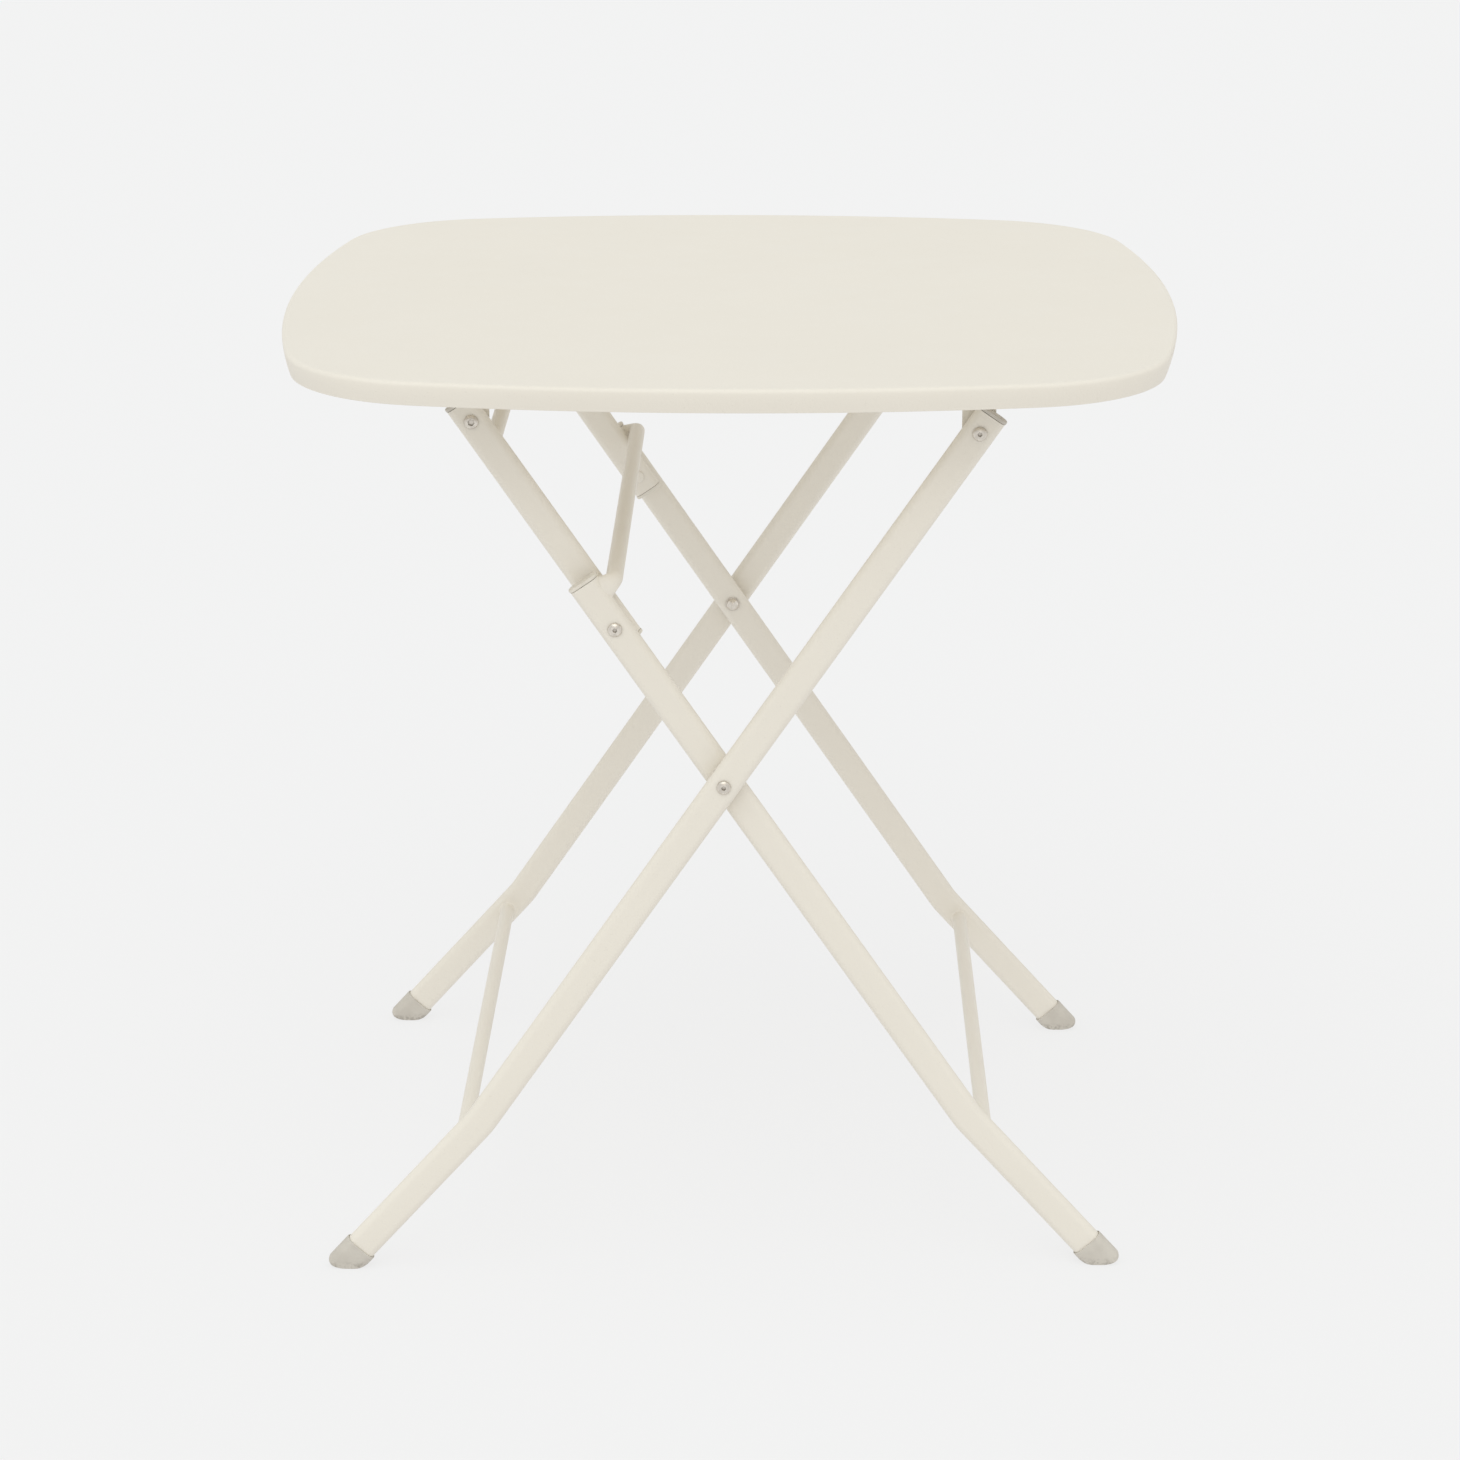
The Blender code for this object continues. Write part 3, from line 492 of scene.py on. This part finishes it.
def carve(item, *tools):
    """Cut the tools out of an object for good, and delete them."""
    for tool in tools:
        modifier = item.modifiers.new("cut", "BOOLEAN")
        modifier.operation = "DIFFERENCE"
        modifier.solver = "EXACT"
        modifier.object = tool
    bpy.context.view_layer.update()
    shaped = item.evaluated_get(bpy.context.evaluated_depsgraph_get())
    mesh = bpy.data.meshes.new_from_object(shaped)
    item.modifiers.clear()
    item.data = mesh
    mesh.name = item.name
    mesh.shade_smooth()
    mesh.set_sharp_from_angle(angle=SHARP_ANGLE)
    for tool in tools:
        bpy.data.objects.remove(tool, do_unlink=True)


def quarter_turn(steps, first=0):
    """The angles of a quarter turn in equal steps, from step number first."""
    return [math.pi / 2 * step / steps for step in range(first, steps + 1)]


def circle(centre, radius, first, second, steps):
    """Points round a centre in the plane of two vectors, whose lengths stretch the circle."""
    turns = [2 * math.pi * step / steps for step in range(steps)]
    return [centre + first * (radius * math.cos(t)) + second * (radius * math.sin(t)) for t in turns]


def turned(profile, centre, steps=ROUND_STEPS):
    """Turn (radius, y) points about the line along Y through centre, and close both ends."""
    first = ALONG_Y.orthogonal().normalized()
    second = ALONG_Y.cross(first)
    return loft([circle(centre + ALONG_Y * y, radius, first, second, steps) for radius, y in profile])


def oval(width, depth, side_steps=1):
    """Points (across, y) of a flat oval: two straight sides joined by half circles."""
    radius = depth / 2
    straight = width / 2 - radius
    points = []
    for side, start in ((1, -90), (-1, 90)):
        for step in range(OVAL_STEPS + 1):
            angle = math.radians(start + 180 * step / OVAL_STEPS)
            points.append((side * straight + radius * math.cos(angle), radius * math.sin(angle)))
        for step in range(1, side_steps):
            points.append((side * straight * (1 - 2 * step / side_steps), side * radius))
    return points


def oval_ring(centre, along, width, depth):
    """A flat oval round a centre, square to the direction along."""
    across = Vector((-along.z, 0, along.x))
    return [centre + across * u + ALONG_Y * v for u, v in oval(width, depth)]


def bent_path(start, bend, end):
    """(point, direction) stations along two straight runs joined by an arc."""
    incoming = (bend - start).normalized()
    outgoing = (end - bend).normalized()
    turn = incoming.angle(outgoing)
    side = Vector((-incoming.z, 0, incoming.x))
    if side.dot(outgoing) < 0:
        side.negate()
    centre = bend - incoming * (BEND_RADIUS * math.tan(turn / 2)) + side * BEND_RADIUS
    stations = [(start, incoming)]
    for step in range(BEND_STEPS + 1):
        angle = turn * step / BEND_STEPS
        spoke = incoming * math.sin(angle) - side * math.cos(angle)
        heading = incoming * math.cos(angle) + side * math.sin(angle)
        stations.append((centre + spoke * BEND_RADIUS, heading))
    stations.append((end, outgoing))
    return stations


def on_floor(bend, down):
    """Where a foot's centreline meets the floor."""
    return bend + down * (bend.z / -down.z)


# ---------------------------------------------------------------- the top


def top_outline(inset, z):
    """The rounded square with slightly bowed sides, moved in by inset."""
    half = TOP_SIDE / 2 - inset
    side_radius = SIDE_ARC_RADIUS - inset
    corner_radius = CORNER_RADIUS - inset
    shift = side_radius - half
    reach = side_radius - corner_radius
    corner = (-shift + math.sqrt(2 * reach**2 - shift**2)) / 2
    first_turn = math.atan2(corner, corner + shift)
    quarter = []
    for step in range(SIDE_STEPS):
        angle = first_turn * step / SIDE_STEPS
        quarter.append((side_radius * math.cos(angle) - shift, side_radius * math.sin(angle)))
    for step in range(CORNER_STEPS + 1):
        angle = first_turn + (math.pi / 2 - 2 * first_turn) * step / CORNER_STEPS
        point = (corner + corner_radius * math.cos(angle), corner + corner_radius * math.sin(angle))
        quarter.append(point)
    for step in range(1, SIDE_STEPS):
        angle = math.pi / 2 - first_turn * (1 - step / SIDE_STEPS)
        quarter.append((side_radius * math.cos(angle), side_radius * math.sin(angle) - shift))
    outline = []
    for turn in range(4):
        cosine = round(math.cos(turn * math.pi / 2))
        sine = round(math.sin(turn * math.pi / 2))
        for x, y in quarter:
            outline.append(Vector((x * cosine - y * sine, x * sine + y * cosine, z)))
    return outline


def make_top():
    """The pressed sheet: flat field, rolled edge, turned-down rim, closed hem, open underneath."""
    field_edge = EDGE_ROUND + FIELD_MARGIN
    levels = [(field_edge + FIELD_RING, TOP_HEIGHT), (field_edge, TOP_HEIGHT)]
    for angle in quarter_turn(EDGE_STEPS):
        inset = EDGE_ROUND * (1 - math.sin(angle))
        levels.append((inset, TOP_HEIGHT - EDGE_ROUND * (1 - math.cos(angle))))
    rim_top = TOP_HEIGHT - EDGE_ROUND
    rim_end = RIM_BOTTOM + HEM_ROUND
    swell = []
    for step in range(1, EDGE_STEPS + 1):
        fall = step / EDGE_STEPS
        swell.append((RIM_TAPER * fall**RIM_SWELL_POWER, rim_top + (rim_end - rim_top) * fall))
    levels += swell
    half_hem = HEM_DEPTH / 2
    for angle in quarter_turn(EDGE_STEPS, first=1):
        inset = RIM_TAPER + HEM_ROUND * (1 - math.cos(angle))
        levels.append((inset, RIM_BOTTOM + HEM_ROUND * (1 - math.sin(angle))))
    levels.append((RIM_TAPER + HEM_WIDTH / 2, RIM_BOTTOM))
    for step in range(2 * EDGE_STEPS + 1):
        angle = math.pi * step / (2 * EDGE_STEPS)
        inset = RIM_TAPER + HEM_WIDTH - half_hem * (1 - math.sin(angle))
        levels.append((inset, RIM_BOTTOM + half_hem * (1 - math.cos(angle))))
    levels.append((RIM_TAPER + SHEET + HEM_ROUND, RIM_BOTTOM + HEM_DEPTH))
    for inset, z in reversed(swell[:-2]):
        levels.append((inset + SHEET, z))
    inner = EDGE_ROUND - SHEET
    for angle in quarter_turn(EDGE_STEPS):
        inset = SHEET + inner * (1 - math.cos(angle))
        levels.append((inset, TOP_HEIGHT - EDGE_ROUND + inner * math.sin(angle)))
    levels.append((field_edge, TOP_HEIGHT - SHEET))
    levels.append((field_edge + FIELD_RING, TOP_HEIGHT - SHEET))
    item = make_object("top_sheet", loft([top_outline(inset, z) for inset, z in levels]))
    dress(item, "folding_top", "powder_coat", "tabletop")


# ---------------------------------------------------------------- tubes


def bolt_hole(place, y):
    """A cutter across a tube whose middle plane is at y."""
    centre = Vector((place.x, y, place.z))
    profile = [(BORE_RADIUS, -TUBE_DEPTH), (BORE_RADIUS, TUBE_DEPTH)]
    return make_object("bolt_hole", turned(profile, centre, steps=TUBE_STEPS))


def make_oval_tube(name, stations, y, width, holes, body):
    """A flat-oval tube along (point, direction) stations, with a bolt hole at each of holes."""
    rings = [oval_ring(point + ALONG_Y * y, along, width, TUBE_DEPTH) for point, along in stations]
    tube = make_object(name + "_tube", loft(rings))
    carve(tube, *[bolt_hole(hole, y) for hole in holes])
    dress(tube, body, "powder_coat", name)


def make_plug(name, end, along, y, tube_width, body, slot):
    """A tube-end plug's flange, with a chamfer by the tube, a rounded edge and a flat face."""
    base = end + along * GAP + ALONG_Y * y
    levels = [(PLUG_CHAMFER_INSET, 0.0), (0.0, PLUG_CHAMFER_DEPTH), (0.0, PLUG_FLANGE - PLUG_ROUND)]
    for angle in quarter_turn(EDGE_STEPS, first=1):
        inset = PLUG_ROUND * (1 - math.cos(angle))
        levels.append((inset, PLUG_FLANGE - PLUG_ROUND * (1 - math.sin(angle))))
    levels.append((PLUG_ROUND + PLUG_FACE_INSET, PLUG_FLANGE))
    rings = []
    for inset, distance in levels:
        width = tube_width + PLUG_PROUD - 2 * inset
        rings.append(oval_ring(base + along * distance, along, width, TUBE_DEPTH - 2 * inset))
    dress(make_object(name + "_moulding", loft(rings)), body, slot, name)


def reach_to_sole(start, down, floor_point, half_width):
    """How far a line along down runs from start to the sole: oval toe, flat, or round heel.

    Toe and heel each touch the flat and the boot's side, which half_width places.
    """
    outward = math.copysign(1, down.x)
    rise = -down.z
    run = abs(down.x)
    toe_reach = run * CAP_TOE_HEIGHT + math.hypot(rise * CAP_TOE_LENGTH, run * CAP_TOE_HEIGHT)
    toe_x = floor_point.x + outward * (half_width - toe_reach) / rise
    heel_x = floor_point.x - outward * (half_width / rise - CAP_HEEL * math.tan(math.asin(rise) / 2))
    to_floor = start.z / rise
    landing = (start + down * to_floor).x
    rounds = (
        (toe_x, CAP_TOE_HEIGHT, CAP_TOE_HEIGHT / CAP_TOE_LENGTH, outward),
        (heel_x, CAP_HEEL, 1.0, -outward),
    )
    for centre_x, height, stretch, beyond in rounds:
        if (landing - centre_x) * beyond > 0:
            offset = Vector(((start.x - centre_x) * stretch, 0, start.z - height))
            heading = Vector((down.x * stretch, 0, down.z))
            square = heading.length_squared
            along = offset.dot(heading)
            inside = along**2 - square * (offset.length_squared - height**2)
            return (math.sqrt(max(0.0, inside)) - along) / square
    return to_floor


def make_foot_cap(name, bend, down, y, body):
    """A boot over the tube's lower end, with a flat sole, an oval toe and a round heel.

    Gives back where the tube ends inside it.
    """
    floor_point = on_floor(bend, down)
    slant = abs(down.z)
    lead = TUBE_WIDTH / 2 * math.sqrt(1 - slant**2) / slant
    tube_end = floor_point - down * (lead + CAP_FLOOR + CAP_LIFT)
    mouth = tube_end - down * CAP_OVERLAP
    across = Vector((-down.z, 0, down.x))
    width = TUBE_WIDTH + 2 * CAP_WALL
    depth = TUBE_DEPTH + 2 * CAP_WALL

    def collar(distance, growth):
        """A ring square to the tube, distance below the mouth, growth wider than the tube."""
        base = mouth + down * distance + ALONG_Y * y
        section = oval(TUBE_WIDTH + growth, TUBE_DEPTH + growth, CAP_STEPS)
        return [base + across * u + ALONG_Y * v for u, v in section]

    rings = [
        collar(CAP_OVERLAP + GAP, 2 * GAP),
        collar(CAP_LIP, 2 * GAP),
        collar(0, 2 * GAP + CAP_LIP),
        collar(0, 2 * CAP_WALL - CAP_LIP),
        collar(CAP_LIP * CAP_LIP_ROUND, 2 * CAP_WALL - CAP_LIP * CAP_LIP_ROUND),
        collar(CAP_LIP, 2 * CAP_WALL),
    ]
    levels = []
    for angle in quarter_turn(EDGE_STEPS):
        levels.append((CAP_EDGE * (1 - math.cos(angle)), CAP_EDGE * (1 - math.sin(angle))))
    for step in range(1, EDGE_STEPS + 1):
        levels.append((CAP_EDGE + (depth / 2 - CAP_EDGE) * step / EDGE_STEPS, 0.0))
    for inset, lift in levels:
        points = []
        for u, v in oval(width - 2 * inset, depth - 2 * inset, CAP_STEPS):
            start = mouth + across * u + ALONG_Y * (y + v)
            reach = reach_to_sole(start, down, floor_point, width / 2) - lift
            points.append(start + down * reach)
        rings.append(points)
    mesh_data = loft(rings, close_end=False)
    bmesh.ops.remove_doubles(mesh_data, verts=mesh_data.verts, dist=MERGE_DISTANCE)
    boot = make_object(name + "_boot", mesh_data, sharp_angle=BOOT_SHARP_ANGLE)
    dress(boot, body, "foot_plastic", name)
    return tube_end


def make_weld(name, centre, axis, body, bar_radii=ROUND_RADII, size=WELD_SIZE, saddle=False):
    """A coated, rippled fillet bead round the end of a bar.

    With saddle it follows the round edge of a flat-oval tube instead of its flat side.
    """
    second = INNER_UP if axis.dot(ALONG_Y) == 0 else Vector((0, 0, 1))
    first = axis.cross(second)
    rings = []
    for angle in quarter_turn(EDGE_STEPS):
        ring = []
        for spoke in range(ROUND_STEPS):
            turn = 2 * math.pi * spoke / ROUND_STEPS
            ripple = 1 + sum(part * math.sin(count * turn + phase) for part, count, phase in WELD_RIPPLES)
            growth = size * ripple * (1 - math.sin(angle)) - WELD_ROOT
            height = size * ripple * (1 - math.cos(angle))
            offset = first * math.cos(turn) * (bar_radii[0] + growth)
            offset += second * math.sin(turn) * (bar_radii[1] + growth)
            if saddle:
                height -= TUBE_REACH - math.sqrt(max(TUBE_REACH**2 - offset.y**2, 0.0))
            ring.append(centre + offset + axis * height)
        rings.append(ring)
    dress(make_object(name, loft(rings)), body, "powder_coat")


def make_crossbar(name, place, half_length, body):
    """A round tube welded between the inner faces of two legs, with a bead at each end."""
    profile = [(ROUND_TUBE, -half_length), (ROUND_TUBE, half_length)]
    bar = make_object(name + "_tube", turned(profile, place, steps=TUBE_STEPS))
    dress(bar, body, "powder_coat", name)
    for side, label in ((-1, "front"), (1, "back")):
        end = place + ALONG_Y * (side * half_length)
        make_weld(f"{name}_weld_{label}", end, ALONG_Y * -side, body)


def make_knee_bar():
    """The bent bar that joins the inner legs at the knee, flattened and welded at its ends."""
    foot = KNEE + INNER_UP * KNEE_BAR_ABOVE_KNEE
    outward = Vector((INNER_UP.z, 0, -INNER_UP.x))
    start_offset = TUBE_WIDTH / 2 - KNEE_BAR_SINK
    radius = KNEE_BAR_OFFSET - TUBE_WIDTH / 2 - GAP
    stations = []
    for side in (-1, 1):
        root = foot + outward * (start_offset - TUBE_REACH / 2)
        arc = [(root + ALONG_Y * (side * INNER_Y), outward, 1.0)]
        for step in range(2 * BEND_STEPS + 1):
            turn = step / (2 * BEND_STEPS)
            angle = math.pi / 2 * turn
            offset = KNEE_BAR_OFFSET - radius * (1 - math.sin(angle))
            y = side * (INNER_Y - radius * (1 - math.cos(angle)))
            heading = outward * math.cos(angle) - ALONG_Y * (side * math.sin(angle))
            arc.append((foot + outward * offset + ALONG_Y * y, heading, (1 - turn) ** 2))
        for step in range(1, BEND_STEPS + 1):
            y -= side * KNEE_BAR_RADIUS / BEND_STEPS
            arc.append((foot + outward * KNEE_BAR_OFFSET + ALONG_Y * y, heading, 0.0))
        if side > 0:
            arc = [(point, -heading, flatness) for point, heading, flatness in reversed(arc)]
        stations += arc
    rings = []
    for point, heading, flatness in stations:
        length = KNEE_BAR_RADIUS + (KNEE_BAR_FLAT_LENGTH - KNEE_BAR_RADIUS) * flatness
        depth = KNEE_BAR_RADIUS + (KNEE_BAR_FLAT_DEPTH - KNEE_BAR_RADIUS) * flatness
        thickness = heading.cross(INNER_UP).normalized() * (depth / KNEE_BAR_RADIUS)
        spread = INNER_UP * (length / KNEE_BAR_RADIUS)
        rings.append(circle(point, KNEE_BAR_RADIUS, thickness, spread, TUBE_STEPS))
    dress(make_object("knee_bar_tube", loft(rings)), "inner_frame", "powder_coat", "knee_bar")
    for side, label in ((-1, "front"), (1, "back")):
        centre = foot + outward * start_offset + ALONG_Y * (side * INNER_Y)
        flat = (KNEE_BAR_FLAT_DEPTH, KNEE_BAR_FLAT_LENGTH)
        name = f"knee_bar_weld_{label}"
        make_weld(name, centre, outward, "inner_frame", flat, KNEE_WELD_SIZE, saddle=True)


# ---------------------------------------------------------------- fasteners


def dome_profile(side, face):
    """(radius, y) points of a button head that rises from face, away from the middle plane."""
    points = [(HEAD_RADIUS * DOME_FLAT, face + side * HEAD_HEIGHT)]
    for angle in quarter_turn(DOME_STEPS, first=1):
        rise = HEAD_HEIGHT * (DOME_STEEP + (1 - DOME_STEEP) * math.cos(angle))
        radius = HEAD_RADIUS * (DOME_FLAT + (1 - DOME_FLAT) * math.sin(angle))
        points.append((radius, face + side * rise))
    for across, height in DOME_FOOT:
        points.append((HEAD_RADIUS * across, face + side * HEAD_HEIGHT * height))
    return points


def make_bolt(name, place, side, head_y, tip_y, body, socket_radius=SOCKET_RADIUS):
    """A domed button-head bolt with a hexagon socket, a chamfered tip and thread ridges."""
    face = side * head_y
    tip = side * tip_y
    profile = dome_profile(side, face)
    profile.append((BOLT_RADIUS, face))
    for ridge in range(int(NUT_HEIGHT / THREAD_PITCH), 0, -1):
        start = tip + side * (BOLT_CHAMFER + (ridge - 0.5) * THREAD_PITCH)
        profile.append((BOLT_RADIUS, start + side * THREAD_PITCH * THREAD_CREST))
        profile.append((BOLT_RADIUS - THREAD_DEPTH, start))
    profile.append((BOLT_RADIUS, tip + side * BOLT_CHAMFER))
    profile.append((BOLT_RADIUS - BOLT_CHAMFER, tip))
    centre = Vector((place.x, 0, place.z))
    bolt = make_object(name + "_turned", turned(profile, centre), place=centre)
    floor = face + side * HEAD_HEIGHT * SOCKET_FLOOR
    mouth = face + side * HEAD_HEIGHT * SOCKET_MOUTH
    socket = turned([(socket_radius, floor), (socket_radius, mouth)], centre, steps=HEX_SIDES)
    carve(bolt, make_object("socket", socket))
    dress(bolt, body, "zinc_steel", name)


def make_cap_nut(name, side):
    """A low domed nut on the inner leg's inner face, with a blind hole over the bolt's tip."""
    face = side * (INNER_Y - TUBE_REACH - GAP)
    hole_end = face - side * (CAP_NUT_DEPTH + GAP)
    drop = -side * CAP_NUT_HEIGHT
    tip = BORE_RADIUS * CAP_NUT_HOLE_TIP
    profile = [(tip, hole_end), (BORE_RADIUS, hole_end), (BORE_RADIUS, face)]
    for across, height in CAP_NUT_FLANGE_OUTLINE:
        profile.append((CAP_NUT_FLANGE * across, face + drop * height))
    profile.append((CAP_NUT_RADIUS, face + drop * CAP_NUT_RIM * CAP_NUT_NECK))
    for angle in quarter_turn(CAP_NUT_STEPS, first=1)[:-1]:
        rise = CAP_NUT_RIM + (1 - CAP_NUT_RIM) * math.sin(angle)
        profile.append((CAP_NUT_RADIUS * math.cos(angle) ** CAP_NUT_FULLNESS, face + drop * rise))
    profile.append((CAP_NUT_RADIUS * CAP_NUT_TIP, face + drop))
    centre = Vector((CROSS.x, 0, CROSS.z))
    nut = make_object(name + "_turned", turned(profile, centre), place=centre)
    dress(nut, "outer_frame", "zinc_steel", name)


def make_knee_nut(name, side):
    """The coated flat head, flush on a brace's inner face, that the knee bolt runs into."""
    face = side * (BRACE_Y - TUBE_REACH - GAP)
    centre = Vector((KNEE.x, 0, KNEE.z))
    stub = side * (BRACE_Y + TUBE_REACH - GAP)
    profile = [(BOLT_RADIUS, stub), (BOLT_RADIUS, face), (RIVET_RADIUS, face)]
    for angle in quarter_turn(RIVET_STEPS, first=1):
        radius = RIVET_RADIUS * (1 - RIVET_ROUND * (1 - math.cos(angle)))
        profile.append((radius, face - side * RIVET_HEIGHT * math.sin(angle)))
    nut = make_object(name + "_turned", turned(profile, centre), place=centre)
    dress(nut, "knee_braces", "powder_coat", name)


# ---------------------------------------------------------------- bodies


def make_outer_frame():
    """The outer legs with their feet, top plugs, crossing bolts and crossbar."""
    body = "outer_frame"
    for side, label in ((-1, "front"), (1, "back")):
        y = side * OUTER_Y
        tube_end = make_foot_cap("outer_foot_cap_" + label, OUTER_BEND, OUTER_FOOT_DOWN, y, body)
        top_end = OUTER_HINGE + OUTER_UP * HINGE_END
        stations = bent_path(top_end, OUTER_BEND, tube_end)
        make_oval_tube("outer_leg_" + label, stations, y, TUBE_WIDTH, (OUTER_HINGE, CROSS), body)
        make_plug("outer_leg_plug_" + label, top_end, OUTER_UP, y, TUBE_WIDTH, body, "foot_plastic")
        tip = INNER_Y - TUBE_REACH - CAP_NUT_DEPTH
        make_bolt("cross_bolt_" + label, CROSS, side, OUTER_Y + TUBE_REACH + GAP, tip, body)
        make_cap_nut("cross_nut_" + label, side)
    place = OUTER_BEND + OUTER_FOOT_DOWN * CROSSBAR_BELOW_BEND
    make_crossbar("outer_crossbar", place, OUTER_Y - TUBE_REACH, body)


def make_inner_frame():
    """The inner legs with their feet, knee plugs, knee bolts, crossbar and knee bar."""
    body = "inner_frame"
    for side, label in ((-1, "front"), (1, "back")):
        y = side * INNER_Y
        tube_end = make_foot_cap("inner_foot_cap_" + label, INNER_BEND, INNER_FOOT_DOWN, y, body)
        top_end = KNEE + INNER_UP * KNEE_END
        stations = bent_path(top_end, INNER_BEND, tube_end)
        make_oval_tube("inner_leg_" + label, stations, y, TUBE_WIDTH, (KNEE, CROSS), body)
        make_plug("inner_leg_plug_" + label, top_end, INNER_UP, y, TUBE_WIDTH, body, "plug_plastic")
        tip = BRACE_Y + TUBE_REACH + GAP
        make_bolt("knee_bolt_" + label, KNEE, side, INNER_Y + TUBE_REACH + GAP, tip, body)
    place = INNER_BEND + INNER_FOOT_DOWN * CROSSBAR_BELOW_BEND
    make_crossbar("inner_crossbar", place, INNER_Y - TUBE_REACH, body)
    make_knee_bar()


def make_knee_braces():
    """The braces with their plugs, the coated ends of the knee pivot and a crossbar."""
    body = "knee_braces"
    for side, label in ((-1, "front"), (1, "back")):
        y = side * BRACE_Y
        top_end = BRACE_HINGE + INNER_UP * HINGE_END
        tail_end = KNEE - INNER_UP * BRACE_TAIL
        stations = [(top_end, -INNER_UP), (tail_end, -INNER_UP)]
        make_oval_tube("brace_" + label, stations, y, BRACE_WIDTH, (BRACE_HINGE, KNEE), body)
        make_plug("brace_top_plug_" + label, top_end, INNER_UP, y, BRACE_WIDTH, body, "foot_plastic")
        make_plug("brace_tail_plug_" + label, tail_end, -INNER_UP, y, BRACE_WIDTH, body, "plug_plastic")
        make_knee_nut("knee_nut_" + label, side)
    place = BRACE_HINGE - INNER_UP * BRACE_BAR_BELOW_HINGE
    make_crossbar("brace_crossbar", place, BRACE_Y - TUBE_REACH, body)


def make_folding_top():
    """The top's sheet and the bolts of its two hinge rows."""
    make_top()
    rows = (
        ("hinge", OUTER_HINGE, OUTER_Y, SOCKET_RADIUS),
        ("brace_hinge", BRACE_HINGE, BRACE_Y, EYELET_SOCKET_RADIUS),
    )
    for row, hinge, tube_y, socket_radius in rows:
        for side, label in ((-1, "front"), (1, "back")):
            tab_outer = tube_y - TUBE_REACH - WASHER_THICKNESS - 2 * GAP
            tip = tab_outer - TAB_THICKNESS - GAP - NUT_HEIGHT
            head_y = tube_y + TUBE_REACH + GAP
            name = f"{row}_bolt_{label}"
            make_bolt(name, hinge, side, head_y, tip, "folding_top", socket_radius)


def dress_cad_nodes():
    """The CAD nodes that stay shown get their finish, and rails and brackets softened edges."""
    slots = {part["node"]: part["material_slot"] for part in RECORD["subparts"]}
    for name, node in NODES.items():
        if name in replaced_nodes:
            continue
        node.data.materials.clear()
        node.data.materials.append(FINISHES[slots[name]])
        if "rail" in name or "bracket" in name:
            modifier = node.modifiers.new("soft_edges", "BEVEL")
            modifier.width = SOFT_EDGE
            modifier.segments = 2
            modifier.limit_method = "ANGLE"
            modifier.angle_limit = SOFT_EDGE_LIMIT


make_outer_frame()
make_inner_frame()
make_knee_braces()
make_folding_top()
dress_cad_nodes()


# ---------------------------------------------------------------- studio


def make_floor():
    """A wide floor that mostly glows, as a brightly lit one does, so shadows stay faint."""
    mesh_data = bmesh.new()
    corners = [(FLOOR_REACH * x, FLOOR_REACH * y, 0.0) for x, y in ((-1, -1), (1, -1), (1, 1), (-1, 1))]
    mesh_data.faces.new([mesh_data.verts.new(corner) for corner in corners])
    floor = make_object("studio_floor", mesh_data)
    material = bpy.data.materials.new("pale_floor")
    material.use_nodes = True
    shader = material.node_tree.nodes["Principled BSDF"]
    shader.inputs["Base Color"].default_value = FLOOR_COLOUR
    shader.inputs["Roughness"].default_value = FLOOR_ROUGHNESS
    shader.inputs["Specular IOR Level"].default_value = 0.0
    shader.inputs["Emission Color"].default_value = WHITE
    shader.inputs["Emission Strength"].default_value = FLOOR_GLOW
    floor.data.materials.append(material)


def add_sun(name, azimuth, elevation, spread, colour, strength):
    """A broad soft source, azimuth degrees to the right of the front and elevation degrees up."""
    light = bpy.data.lights.new(name, "SUN")
    light.energy = strength
    light.color = colour
    light.angle = math.radians(spread)
    item = bpy.data.objects.new(name, light)
    turn = math.radians(azimuth)
    lift = math.radians(elevation)
    level = math.cos(lift)
    towards = Vector((math.sin(turn) * level, -math.cos(turn) * level, math.sin(lift)))
    item.rotation_euler = towards.to_track_quat("Z", "Y").to_euler()
    bpy.context.collection.objects.link(item)


def light_room():
    """An even white room with a soft key, a front fill and a faint glow from each side."""
    world = bpy.data.worlds.new("studio")
    world.use_nodes = True
    background = world.node_tree.nodes["Background"]
    background.inputs["Color"].default_value = WHITE
    background.inputs["Strength"].default_value = WORLD_STRENGTH
    bpy.context.scene.world = world
    for name, settings in SUNS.items():
        add_sun(name, *settings)


def place_camera():
    """A long lens in front of the table, above its top and looking down at it."""
    camera = bpy.data.cameras.new("camera")
    camera.sensor_width = CAMERA_SENSOR
    camera.lens = CAMERA_LENS
    camera.shift_y = CAMERA_SHIFT
    camera.clip_end = CAMERA_FAR
    item = bpy.data.objects.new("camera", camera)
    item.location = CAMERA_PLACE
    item.rotation_euler = (math.radians(90 - CAMERA_DOWN), 0, math.radians(CAMERA_TURN))
    bpy.context.collection.objects.link(item)
    bpy.context.scene.camera = item


make_floor()
light_room()
place_camera()
bpy.context.scene.view_settings.view_transform = "Standard"
